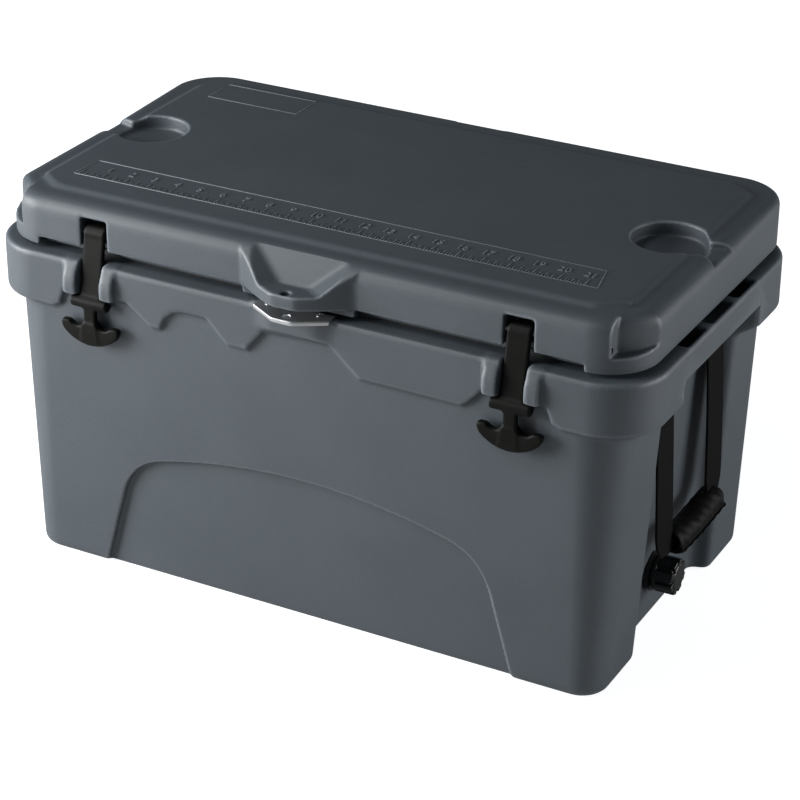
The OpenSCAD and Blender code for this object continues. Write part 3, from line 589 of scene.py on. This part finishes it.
# %% Hinge knuckles of the tub
def knuckle_run(field, first, web_low, web_high, web_z):
    for k in range(first, KNUCKLES, 2):
        start = -HINGE_LENGTH / 2 + k * PITCH
        end = start + PITCH - 1

        def knuckle(x, y, z):
            barrel = np.hypot(y - HINGE_Y, z - HINGE_Z) - KNUCKLE
            web = np.maximum(slab(y, web_low, web_high), slab(z, *web_z))
            return meet(join(barrel, web, 5), slab(x, start, end), 2)

        field.add((start - 4, RIM_HY - 10, web_z[0] - 8), (end + 4, RIM_HY + 30, web_z[1] + 14), 3, knuckle)


knuckle_run(tub, 0, RIM_HY - 4, HINGE_Y, (HINGE_Z - KNUCKLE - 8, HINGE_Z - 1))
tub_mesh = skin_of(tub, "tub_moulding")
piece_of(tub_mesh, "tub", slate, "moulded_polyethylene", "tub_shell", faces=170000, flat_first=True)

# %% [markdown]
# ## The lid
# The lid is one more moulding: a wide soft edge all round, a raised centre panel with cut corners, a cup
# recess at each end that drains outwards, and a tongue over the lock plate with a pocket for the fingers.

# %% Sizes of the lid
LID_HX, LID_HY = 336, 188.5
LID_SHIFT = 7
LID_FRONT, LID_REAR = LID_SHIFT - LID_HY, LID_SHIFT + LID_HY
LID_LOW = RIM_TOP + 3.7
DECK = TOP - 3.5
CUP_X, CUP_Y, CUP_R = LID_HX - 55, LID_SHIFT + 7, 36
SHELF = LID_LOW + 21.5
PADLOCK_Y = -RIM_HY - 13
print(f"lid {2 * LID_HX:.0f} x {2 * LID_HY:.0f} mm, deck at {DECK:.1f} mm")

# %% Lid body, raised panel and plug
step = 1.6
lid = Field((-LID_HX - 5, -RIM_HY - 26, LID_LOW - 20), (LID_HX + 5, RIM_HY + 28, TOP + 4), step)
x, y, z = lid.x, lid.y, lid.z
plan = rounded_rect(x, y - LID_SHIFT, LID_HX, LID_HY, 52)
edge_roll = np.interp(y, [40, 150], [17, 9])
block = meet(meet(plan, z - DECK, edge_roll), LID_LOW - z, 3)
ax, ay = np.abs(x) - (LID_HX - 31), np.abs(y - LID_SHIFT) - (LID_HY - 31)
outline = meet(meet(ax, ay, 3), (17 * ax + 23 * ay + 17 * 23) / math.hypot(17, 23), 4)
panel = meet(meet((outline + 1.8 * (z - TOP)) / 2.06, z - TOP, 0.8), DECK - 4 - z, 1)
plug = meet(meet(rounded_rect(x, y, 268, 136, 32), LID_LOW - 16 - z, 4), z - LID_LOW - 3, 1)
lid.start(join(join(block, panel, 1.2), plug, 2))


def relief(x, y, z):
    return meet(meet(slab(np.abs(x), 59, 285), y - LID_FRONT - 12, 2), z - LID_LOW - 8.3, 2)


lid.carve((-290, -RIM_HY - 10, LID_LOW - 4), (290, LID_FRONT + 18, LID_LOW + 14), 1.6, relief)
for side in (-1, 1):
    def latch_slot(x, y, z):
        return meet(meet(np.abs(x - side * LATCH_X) - 14.9, y - LID_FRONT - 21, 3), z - (TOP - 15.5), 3)

    lid.carve((side * LATCH_X - 20, -RIM_HY - 10, LID_LOW - 20),
              (side * LATCH_X + 20, LID_FRONT + 27, TOP - 8), 1.6, latch_slot)

    def cup(x, y, z):
        bowl = meet(np.hypot(x - side * CUP_X, y - CUP_Y) - CUP_R, TOP - 15 - z, 4)
        flare = 15 + 0.35 * np.clip(side * x - CUP_X - 36, 0, 20)
        gutter = meet(meet(np.abs(y - CUP_Y) - flare, CUP_X - side * x, 2), TOP - 11 - z, 3)
        return join(bowl, gutter, 1.5)

    ends = sorted((side * (CUP_X - 42), side * (LID_HX + 6)))
    lid.carve((ends[0], CUP_Y - 44, TOP - 22), (ends[1], CUP_Y + 44, TOP + 5), 1.6, cup)

    def corner_pocket(x, y, z):
        along = np.clip((y - LID_FRONT) / 48, 0, 1)
        inner = rounded_rect(x, y - LID_SHIFT, LID_HX, LID_HY, 52) + 15 * (1 - along ** 2)
        core = meet(inner, z - DECK, 14)
        lip = LID_LOW + 15.5 + 5 * along ** 2
        return meet(meet(307 - side * x, lip - z, 1.5), -core, 1.5)

    ends = sorted((side * 300, side * (LID_HX + 6)))
    lid.carve((ends[0], -RIM_HY - 4, LID_LOW + 8), (ends[1], LID_FRONT + 48, TOP + 4), 1, corner_pocket)
print("lid grid", lid.d.shape)

# %% [markdown]
# The tongue starts as the lid's own front wall and narrows to a nose over the lock plate. Its two arms are
# what is left standing beside the finger pocket. Planes are enough for it: one for the back of the pocket,
# one for each side, and the small blends between them give the moulded look.

# %% Tongue, finger pocket and padlock hole
def tongue(x, y, z):
    ax = np.abs(x)
    sides = ((ax - 59) * 21.5 - (y - LID_FRONT) * 32) / math.hypot(21.5, 32)
    cheeks = ((ax - 27) * 7 - (y + RIM_HY + 13) * 15) / math.hypot(7, 15)
    outline = meet(meet(sides, cheeks, 2), -RIM_HY - 20 - y, 1.5)
    outline = meet(meet(outline, ax - 60, 4), y - LID_FRONT - 16, 2)
    slope = meet((z - SHELF - 0.99 * (y + RIM_HY + 13)) / 1.41, z - DECK + 5, 6)
    return meet(meet(outline, join(z - SHELF, slope, 2.5), 1.2), LID_LOW + 7.5 - z, 2.5)


lid.add((-76, -RIM_HY - 26, LID_LOW - 2), (76, LID_FRONT + 26, TOP + 2), 3, tongue)


def finger_pocket(x, y, z):
    back = (y + RIM_HY - 3 - 0.563 * (z - SHELF)) / 1.15
    cheek = 0.385 * (np.abs(x) - 15) + 0.522 * (y + RIM_HY - 3) - 0.761 * (z - SHELF)
    return meet(meet(back, cheek, 2), SHELF - z, 2)


lid.carve((-76, -RIM_HY - 26, SHELF - 5), (76, LID_FRONT + 22, TOP + 4), 0.8, finger_pocket)
lid.carve((-10, PADLOCK_Y - 10, LID_LOW - 3), (10, PADLOCK_Y + 10, SHELF + 6), 1,
          lambda x, y, z: np.hypot(x, y - PADLOCK_Y) - 4.5 + 0 * z)
lid.carve((-34, LID_REAR - 12, DECK - 24), (34, LID_REAR + 6, TOP + 2), 3,
          lambda x, y, z: meet(meet(np.abs(x) - 26, LID_REAR - 4 - y, 2), DECK - 14 - z, 3))
knuckle_run(lid, 1, RIM_HY + 2, HINGE_Y, (HINGE_Z + 1, LID_LOW + 14))
lid_mesh = skin_of(lid, "lid_moulding")
piece_of(lid_mesh, "lid", slate, "moulded_polyethylene", "lid_shell", faces=150000, flat_first=True)

# %% [markdown]
# ## The ruler
# A ruler is moulded into the lid: fine raised ridges, one long mark to the inch with shorter marks between,
# and small numerals. Each ridge is real geometry, a low rounded bead, so that it catches the light as the
# moulded one does.

# %% Ruler marks and frame lines
def bead(points, quads, start, end, width, height):
    a, b = np.array(start, float), np.array(end, float)
    along = (b - a) / np.linalg.norm(b - a)
    across = np.array([-along[1], along[0], 0])
    base = len(points)
    profile = [(-0.5, -0.4), (-0.42, 0.55), (-0.18, 1), (0.18, 1), (0.42, 0.55), (0.5, -0.4)]
    for at, inset in ((a, 0), (a + along * width * 0.3, 1), (b - along * width * 0.3, 1), (b, 0)):
        for u, v in profile:
            points.append(at + across * u * width + np.array([0, 0, height * (v if inset else min(v, 0.2))]))
    for ring in range(3):
        for i in range(5):
            p = base + ring * 6 + i
            quads.append((p, p + 6, p + 7, p + 1))
    for ring, order in ((0, 1), (3, -1)):
        p = base + ring * 6
        for q in ((p, p + 1, p + 4, p + 5), (p + 1, p + 2, p + 3, p + 4)):
            quads.append(q[::order])


INCH = 25.4
RULE_LEFT, RULE_BACK, RULE_FRONT = -279.0, -84.0, -122.0
points, quads = [], []
for eighth in range(21 * 8 + 1):
    at = RULE_LEFT - 0.5 + INCH * (1 / 12) + eighth * INCH / 8
    length = {0: 13, 4: 9.5, 2: 7, 6: 7}.get(eighth % 8, 4.5)
    bead(points, quads, (at, RULE_FRONT + length, TOP), (at, RULE_FRONT, TOP), 1.0, 0.8)
RULE_RIGHT = RULE_LEFT + INCH * 21.6
back_left, back_right = (RULE_LEFT, RULE_BACK), (RULE_RIGHT - 8, RULE_BACK)
front_left, front_right = (RULE_LEFT - 3, RULE_FRONT), (RULE_RIGHT, RULE_FRONT)
for a, b in ((back_left, back_right), (back_right, front_right), (back_left, front_left),
             (front_left, front_right)):
    bead(points, quads, (*a, TOP), (*b, TOP), 1.1, 0.5)
piece_of(mesh_from("ruler_marks", np.array(points) * MM, np.array(quads)), "lid", slate,
         "moulded_polyethylene")
points, quads = [], []
plate_corners = [(-280, 119), (-175, 119), (-175, 168 - 8), (-280, 168 - 8)]
for a, b in zip(plate_corners, plate_corners[1:] + plate_corners[:1]):
    bead(points, quads, (*a, TOP), (*b, TOP), 1.3, 0.45)
piece_of(mesh_from("blank_plate_outline", np.array(points) * MM, np.array(quads)), "lid", slate,
         "moulded_polyethylene")

# %% Ruler numerals
numerals = []
for inch in range(1, 22):
    curve = bpy.data.curves.new("numeral", "FONT")
    curve.body = str(inch)
    curve.size, curve.extrude, curve.align_x = 12.5 * MM, 0.8 * MM, "CENTER"
    curve.resolution_u = 3
    figure = bpy.data.objects.new("numeral", curve)
    bpy.context.scene.collection.objects.link(figure)
    figure.location = ((RULE_LEFT + 1.6 + INCH * inch - 2.5) * MM, -104 * MM, TOP * MM)
    numerals.append(figure)
bpy.context.view_layer.update()
depsgraph = bpy.context.evaluated_depsgraph_get()
points, faces = [], []
for figure in numerals:
    mesh = bpy.data.meshes.new_from_object(figure.evaluated_get(depsgraph))
    mesh.transform(figure.matrix_world)
    base = len(points)
    points += [tuple(v.co) for v in mesh.vertices]
    faces += [tuple(base + i for i in p.vertices) for p in mesh.polygons]
    bpy.data.meshes.remove(mesh)
    bpy.data.objects.remove(figure)
mesh = bpy.data.meshes.new("ruler_numerals")
mesh.from_pydata(points, [], faces)
piece_of(mesh, "lid", slate, "moulded_polyethylene")

# %% [markdown]
# ## The latches
# Each latch is one rubber casting: it wraps its pin, runs down as a flat strap, swells into a T bar that hooks
# under the ears, and ends in an anchor that two fingers can pull. Rubber castings have a small radius on
# every edge, so the latch is a distance field too, on a fine grid.

# %% Rubber latches
def segment(u, v, a, b):
    du, dv = b[0] - a[0], b[1] - a[1]
    t = np.clip(((u - a[0]) * du + (v - a[1]) * dv) / (du * du + dv * dv), 0, 1)
    return np.hypot(u - a[0] - t * du, v - a[1] - t * dv)


PIN_Y, PIN_Z = LID_FRONT + 9, TOP - 31
BAR_Y, BAR_Z = -WALL_HY - 7.2, EAR_LOW - 6.5
PULL_TOP, PULL_LOW = BAR_Z - 21, BAR_Z - 44


def latch_field():
    half = 32.5
    field = Field((-half - 3, BAR_Y - 10, PULL_LOW - 3), (half + 3, PIN_Y + 12, PIN_Z + 12),
                  0.7)
    x, y, z = field.x, field.y, field.z
    strap = segment(y, z, (PIN_Y - 5.6, PIN_Z), (BAR_Y + 0.5, BAR_Z)) - 2.5
    roll = np.hypot(y - PIN_Y, z - PIN_Z) - 8.05
    band = meet(join(strap, roll, 2), np.abs(x) - 11.5, 2.2)
    bar = meet(np.hypot(y - BAR_Y, z - BAR_Z) - 6, np.abs(x) - 20, 2)
    widen = 6.5 + 0.10 * np.clip(PULL_TOP + 4 - z, 0, 30)
    neck = meet(meet(np.abs(x) - widen, slab(y, BAR_Y - 4, BAR_Y + 3), 2.5), slab(z, PULL_LOW + 6, BAR_Z), 2)
    bowl = np.hypot(x, z - PULL_LOW - 42) - 42
    hooks = np.hypot(np.abs(x) - (half - 17.5), z - PULL_TOP - 5.5) - 9.5
    anchor = meet(meet(bowl, z - PULL_TOP, 2), np.abs(x) - half, 4)
    anchor = meet(anchor, -hooks, 2)
    anchor = meet(anchor, slab(y, BAR_Y - 4.6, BAR_Y + 3.2), 2.5)
    field.start(join(join(join(band, bar, 3), neck, 3), anchor, 4))
    return field


latch_field_made = latch_field()
for side, name in ((-1, "left"), (1, "right")):
    mesh = skin_of(latch_field_made, "latch_rubber_" + name)
    mesh.transform(Matrix.Translation((side * LATCH_X * MM, 0, 0)))
    piece_of(mesh, "latch_" + name, latch_rubber, "latch_rubber", "latch_" + name, faces=30000)

# %% [markdown]
# ## The lock plate and its screws
# A stainless plate is screwed down in front, under the lid's tongue, so that a padlock can pass through both.
# It is cut from 2 mm sheet with a shallow V in front, and its front edge is folded down as a stiff lip.

# %% Lock plate
def lock_plate_field():
    field = Field((-43, plate_low[1] - 2, RIM_TOP - 7), (43, plate_high[1] + 2, RIM_TOP + 5),
                  0.45)
    x, y, z = field.x, field.y, field.z
    ax = np.abs(x)
    vee = ((-RIM_HY - 4 - y) * 30 - (40 - ax) * 18) / math.hypot(30, 18)
    outline = meet(meet(ax - 39.8, vee, 1), plate_low[1] + 0.2 - y, 1.5)
    outline = meet(outline, y - plate_high[1] + 0.2, 1)
    sheet = meet(outline, slab(z, RIM_TOP, RIM_TOP + 2), 0.8)
    lip = meet(meet(outline, -1.8 - outline, 0.6), slab(z, RIM_TOP - 2.5, RIM_TOP + 1), 0.8)
    lip = meet(lip, y + RIM_HY + 3.5, 0.6)
    field.start(join(sheet, lip, 1))
    for cx, cy, r in ((0, PADLOCK_Y, 4.5), (-27, -RIM_HY + 3, 2.3), (27, -RIM_HY + 3, 2.3)):
        field.d = meet(field.d, -(np.hypot(x - cx, y - cy) - r), 0.5)
    return field


piece_of(skin_of(lock_plate_field(), "lock_plate_steel"), "tub", steel, "stainless_steel", "lock_plate",
         faces=24000)

# %% Screw heads
def screw_field():
    field = Field((-5, -5, -14.5), (5, 5, 3), 0.3)
    x, y, z = field.x, field.y, field.z
    r = np.hypot(x, y)
    head = meet(meet(np.sqrt(r * r + (z + 6.0) ** 2) - 7.6, r - 4, 0.8), -z, 0.4)
    shank = meet(r - 1.9, slab(z, -14, 0.5), 0.5)
    body = join(head, shank, 0.5)
    one_slot = np.maximum(np.abs(x) - 0.5, np.abs(y) - 2.2)
    other_slot = np.maximum(np.abs(y) - 0.5, np.abs(x) - 2.2)
    cross = np.minimum(one_slot, other_slot)
    field.start(meet(body, -np.maximum(cross, 0.7 - z), 0.3))
    return field


screw_mesh = skin_of(screw_field(), "plate_screw")
points = np.zeros(len(screw_mesh.vertices) * 3, np.float32)
screw_mesh.vertices.foreach_get("co", points)
points = points.reshape(-1, 3)
rings = np.array([p.vertices[:] for p in screw_mesh.polygons])
both = np.concatenate([points + np.array([s * 27, -RIM_HY + 3, RIM_TOP + 2]) * MM for s in (-1, 1)])
piece_of(mesh_from("plate_screws", both, np.concatenate([rings, rings + len(points)])), "tub", steel,
         "stainless_steel", "lock_plate_screws")

# %% [markdown]
# ## Straps and grips
# Each handle is one length of webbing: down from the rim, through a padded sleeve and up again. It hangs flat
# against the bay and turns in its own plane where it enters the sleeve. It is swept as a thin ribbon with a
# thicker edge, which leans out a little below the rim on its way down to the handle.

# %% Webbing ribbons
def ribbon(name, path, across, outward, width, thick, taper=None):
    """A woven band: path, its width direction and its face direction at each point, in millimetres."""
    profile = []
    half = 0.5
    for u, v in ((-half, 0.0), (-half * 0.985, 0.42), (-half * 0.9, 0.5), (-half * 0.84, 0.4), (-0.2, 0.42),
                 (0.2, 0.42), (half * 0.84, 0.4), (half * 0.9, 0.5), (half * 0.985, 0.42), (half, 0.0)):
        profile.append((u, v))
    profile += [(u, -v) for u, v in reversed(profile[1:-1])]
    points, quads = [], []
    for i, at in enumerate(path):
        w = width if taper is None else width * taper[i]
        for u, v in profile:
            points.append(np.array(at) + np.array(across[i]) * u * w + np.array(outward[i]) * v * thick)
    n = len(profile)
    for i in range(len(path) - 1):
        for j in range(n):
            a, b = i * n + j, i * n + (j + 1) % n
            quads.append((a, b, b + n, a + n))
    for end, order in ((0, -1), (len(path) - 1, 1)):
        for j in range(n // 2 - 1):
            cap = [end * n + j, end * n + j + 1, end * n + (n - j - 2) % n, end * n + (n - j - 1) % n]
            quads.append(cap[::order])
    return mesh_from(name, np.array(points) * MM, np.array(quads))


EXIT_X, EXIT_Z = strap_low[0] + 1.5, strap_high[2] - 1.5
GRIP_X, GRIP_Z = EXIT_X + 9, 106
SLEEVE = (-43, 62)


def handle_path():
    """Half of the handle, from the rim down to the middle of the sleeve."""
    points, across = [], []
    turn = 21
    for z in np.linspace(EXIT_Z + 14, GRIP_Z + turn, 40):
        points.append((WEBBING_Y, z))
        across.append((1.0, 0.0))
    for a in np.linspace(0, math.pi / 2, 12)[1:]:
        points.append((WEBBING_Y - turn + turn * math.cos(a), GRIP_Z + turn - turn * math.sin(a)))
        across.append((math.cos(a), -math.sin(a)))
    for y in np.linspace(WEBBING_Y - turn, 0, 10)[1:]:
        points.append((y, GRIP_Z))
        across.append((0.0, -1.0))
    return points, across


def handle_webbing(side, name):
    half, half_across = handle_path()
    flat = half + [(-y, z) for y, z in reversed(half[:-1])]
    wide = half_across + [(a, -b) for a, b in reversed(half_across[:-1])]
    path, across, outward, taper = [], [], [], []
    for (y, z), (u, v) in zip(flat, wide):
        drop = np.clip((EXIT_Z - z) / (EXIT_Z - GRIP_Z), 0, 1)
        sway = 1.2 * math.sin(math.pi * drop) * (1 if y > 0 else 0.4)
        path.append((side * (EXIT_X + 9 * drop + sway), y, z))
        across.append((0, u, v))
        outward.append((side, 0, 0))
        taper.append(1 - 0.56 * np.clip((WEBBING_Y - abs(y)) / 21, 0, 1))
    mesh = ribbon("handle_webbing_" + name, path, across, outward, WEBBING_WIDTH, 3.0, taper)
    piece = piece_of(mesh, None, webbing, "webbing", "handle_straps_" + name)
    softer = piece.modifiers.new("rounder", "SUBSURF")
    softer.levels = softer.render_levels = 1
    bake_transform(piece)
    return piece


for side, name in ((-1, "left"), (1, "right")):
    handle_webbing(side, name)

# %% [markdown]
# Above the bay the webbing passes up through the rim, round a steel bar and back. The loop over the bar can be
# seen in its pocket at the end of the rim.

# %% Webbing loops round the bars
BAR_X, LOOP_Z = (loop_low[0] + loop_high[0]) / 2, (loop_low[2] + loop_high[2]) / 2


def loop_path():
    points, faces = [], []
    for t in np.linspace(0, 1, 8)[:-1]:
        points.append((EXIT_X + (BAR_X - 4.7 - EXIT_X) * t, EXIT_Z + 4 + (LOOP_Z - EXIT_Z - 4) * t))
        faces.append((-0.82, 0.57))
    for a in np.linspace(math.pi, -0.75 * math.pi, 18):
        points.append((BAR_X + 4.7 * math.cos(a), LOOP_Z + 4.7 * math.sin(a)))
        faces.append((math.cos(a), math.sin(a)))
    for t in np.linspace(0, 1, 7)[1:]:
        points.append((BAR_X - 3.3 + (EXIT_X + 3.6 - BAR_X + 3.3) * t,
                       LOOP_Z - 3.6 + (EXIT_Z + 8 - LOOP_Z) * t))
        faces.append((0.82, -0.57))
    return points, faces


for side, name in ((-1, "left"), (1, "right")):
    flat, faces = loop_path()
    both_points, both_quads = [], []
    for hand in (-1, 1):
        path = [(side * u, hand * WEBBING_Y, v) for u, v in flat]
        out = [(side * u, 0, v) for u, v in faces]
        part = ribbon("loop", path, [(0, 1, 0)] * len(path), out, WEBBING_WIDTH, 2.6)
        both_quads += [tuple(i + len(both_points) for i in p.vertices) for p in part.polygons]
        both_points += [tuple(v.co) for v in part.vertices]
        bpy.data.meshes.remove(part)
    piece_of(mesh_from("webbing_loops_" + name, both_points, np.array(both_quads)), "tub", webbing, "webbing",
             "strap_loops_" + name)

# %% [markdown]
# The sleeve is a flat pad wrapped round the webbing and closed with a long flap. Cloth simulation could swell
# it, but it is thin quilted foam and holds its own shape, so its thickness is modelled and its softness comes
# from low swells and from the pull of the stitched lines.

# %% Padded sleeves
def sleeve_mesh(side, name, y0, y1):
    rows, columns, thick = 56, 84, 3.6
    overlap = math.radians(48)
    start = math.radians(-70)
    sweep = 2 * math.pi + overlap
    rng = np.random.default_rng(7 if side > 0 else 11)
    phase = rng.uniform(0, 2 * math.pi, 6)
    points = []
    for layer in (0, 1):
        for i in range(rows + 1):
            t = i / rows
            y = y0 + (y1 - y0) * t
            for j in range(columns + 1):
                s = j / columns
                a = start + sweep * s
                lap = np.clip((s - (2 * math.pi - 0.15) / sweep) / (overlap / sweep), 0, 1)
                base = 9.6 + 3.4 * lap
                swell = 0.75 * math.sin(9 * t + phase[0]) * math.cos(2 * a + phase[1])
                swell += 0.45 * math.sin(23 * t + phase[2]) * math.sin(3 * a + phase[3])
                swell += 0.3 * math.sin(47 * t + 4 * a + phase[4])
                seam = 0.0
                for line in (0.075, 0.925):
                    seam -= 0.75 * math.exp(-((t - line) / 0.014) ** 2)
                for line in (0.03, 0.965):
                    seam -= 0.7 * math.exp(-((s - line) / 0.006) ** 2)
                rim = 1 - 0.5 * (math.exp(-(t / 0.02) ** 2) + math.exp(-((1 - t) / 0.02) ** 2))
                r = base + layer * thick * rim + (swell if layer else 0.5 * swell) + (seam if layer else 0)
                droop = -1.0 * math.sin(math.pi * t)
                points.append((side * (GRIP_X + r * math.cos(a)), y, GRIP_Z + droop + 0.94 * r * math.sin(a)))
    quads = []
    width, block = columns + 1, (rows + 1) * (columns + 1)
    for layer in (0, 1):
        for i in range(rows):
            for j in range(columns):
                p = layer * block + i * width + j
                q = (p, p + 1, p + width + 1, p + width)
                quads.append(q if (layer == 1) == (side < 0) else q[::-1])
    edge = [(i * width, (i + 1) * width) for i in range(rows)]
    edge_far = [((i + 1) * width + columns, i * width + columns) for i in range(rows)]
    edge_start = [(j + 1, j) for j in range(columns)]
    edge_end = [(rows * width + j, rows * width + j + 1) for j in range(columns)]
    for a, b in edge + edge_far + edge_start + edge_end:
        q = (a, b, b + block, a + block)
        quads.append(q if side < 0 else q[::-1])
    return mesh_from("grip_sleeve_" + name, np.array(points) * MM, np.array(quads))


for side, name in ((-1, "left"), (1, "right")):
    sleeve = piece_of(sleeve_mesh(side, name, *SLEEVE), "handle_" + name, grip_cloth, "grip_fabric",
                      "handle_grip_" + name)
    softer = sleeve.modifiers.new("rounder", "SUBSURF")
    softer.levels = softer.render_levels = 1

# %% Liners inside the sleeves
def liner_field():
    field = Field((-12, SLEEVE[0] + 1, -12), (12, SLEEVE[1] - 1, 12), 1.1)
    r = np.hypot(field.x, field.z)
    field.start(meet(np.abs(r - 9.0) - 0.9, slab(field.y, SLEEVE[0] + 3, SLEEVE[1] - 3), 0.8))
    return field


for side, name in ((-1, "left"), (1, "right")):
    mesh = skin_of(liner_field(), "sleeve_liner_" + name)
    mesh.transform(Matrix.Translation((side * GRIP_X * MM, 0, (GRIP_Z - 0.6) * MM)))
    piece_of(mesh, "handle_" + name, nylon, "black_nylon", "handle_core_" + name)

# %% [markdown]
# ## The drain
# The drain cap has deep lugs for wet fingers and a chamfered face. It turns on the threaded tube.

# %% Drain cap
cap_low, cap_high = box_mm("drain_cap")


def drain_cap_field():
    length = cap_high[0] - cap_low[0]
    cap_r = (cap_high[2] - cap_low[2]) / 2
    field = Field((-2, -cap_r - 2, -cap_r - 2), (length + 2, cap_r + 2, cap_r + 2),
                  0.5)
    x, y, z = field.x, field.y, field.z
    r, turn = np.hypot(y, z), np.arctan2(z, y)
    core = meet(r - cap_r + 3, slab(x, 0, length - 3), 1.2)
    lobe = np.abs(np.mod(turn * 8 / (2 * math.pi), 1) - 0.5) * 2 * math.pi * r / 8 * 2
    lugs = meet(meet(r - cap_r, lobe - 8.8, 1.2), slab(x, 2, length - 0.8), 1.6)
    face = meet(r - cap_r + 5.5, slab(x, 0, length), 1.2)
    flange = meet(r - cap_r + 0.1, slab(x, 0, 3), 0.8)
    cap = join(join(join(core, lugs, 1.4), face, 1.5), flange, 0.8)
    return field, meet(cap, -np.maximum(r - 13.4, x - length + 5), 0.5)


field, cap_shape = drain_cap_field()
field.start(cap_shape)
mesh = skin_of(field, "drain_cap_moulding")
mesh.transform(Matrix.Translation((cap_low[0] * MM, DRAIN_Y * MM, DRAIN_Z * MM)))
piece_of(mesh, "drain_cap", nylon, "black_nylon", "drain_cap", faces=30000)

# %% [markdown]
# ## Pieces kept from the CAD model
# Rods, pins, bars, seals, feet and the drain's tube are turned or moulded to plain shapes, and the CAD mesh is
# already right. They only take their finish.

# %% Finishes for the kept nodes
kept = {
    steel: ["hinge_rod", "latch_pin_left", "latch_pin_right", "strap_bars_left", "strap_bars_right",
            "foot_screws"],
    seal_rubber: ["lid_gasket", "drain_gasket", "drain_cap_seal", "rubber_feet"],
    nylon: ["hinge_rod_caps", "drain_bushing", "drain_nut"],
    foam: ["tub_foam", "lid_foam"],
}
for material, names in kept.items():
    for name in names:
        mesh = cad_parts[name].data
        mesh.materials.clear()
        mesh.materials.append(material)
print("kept", sum(len(names) for names in kept.values()), "nodes")
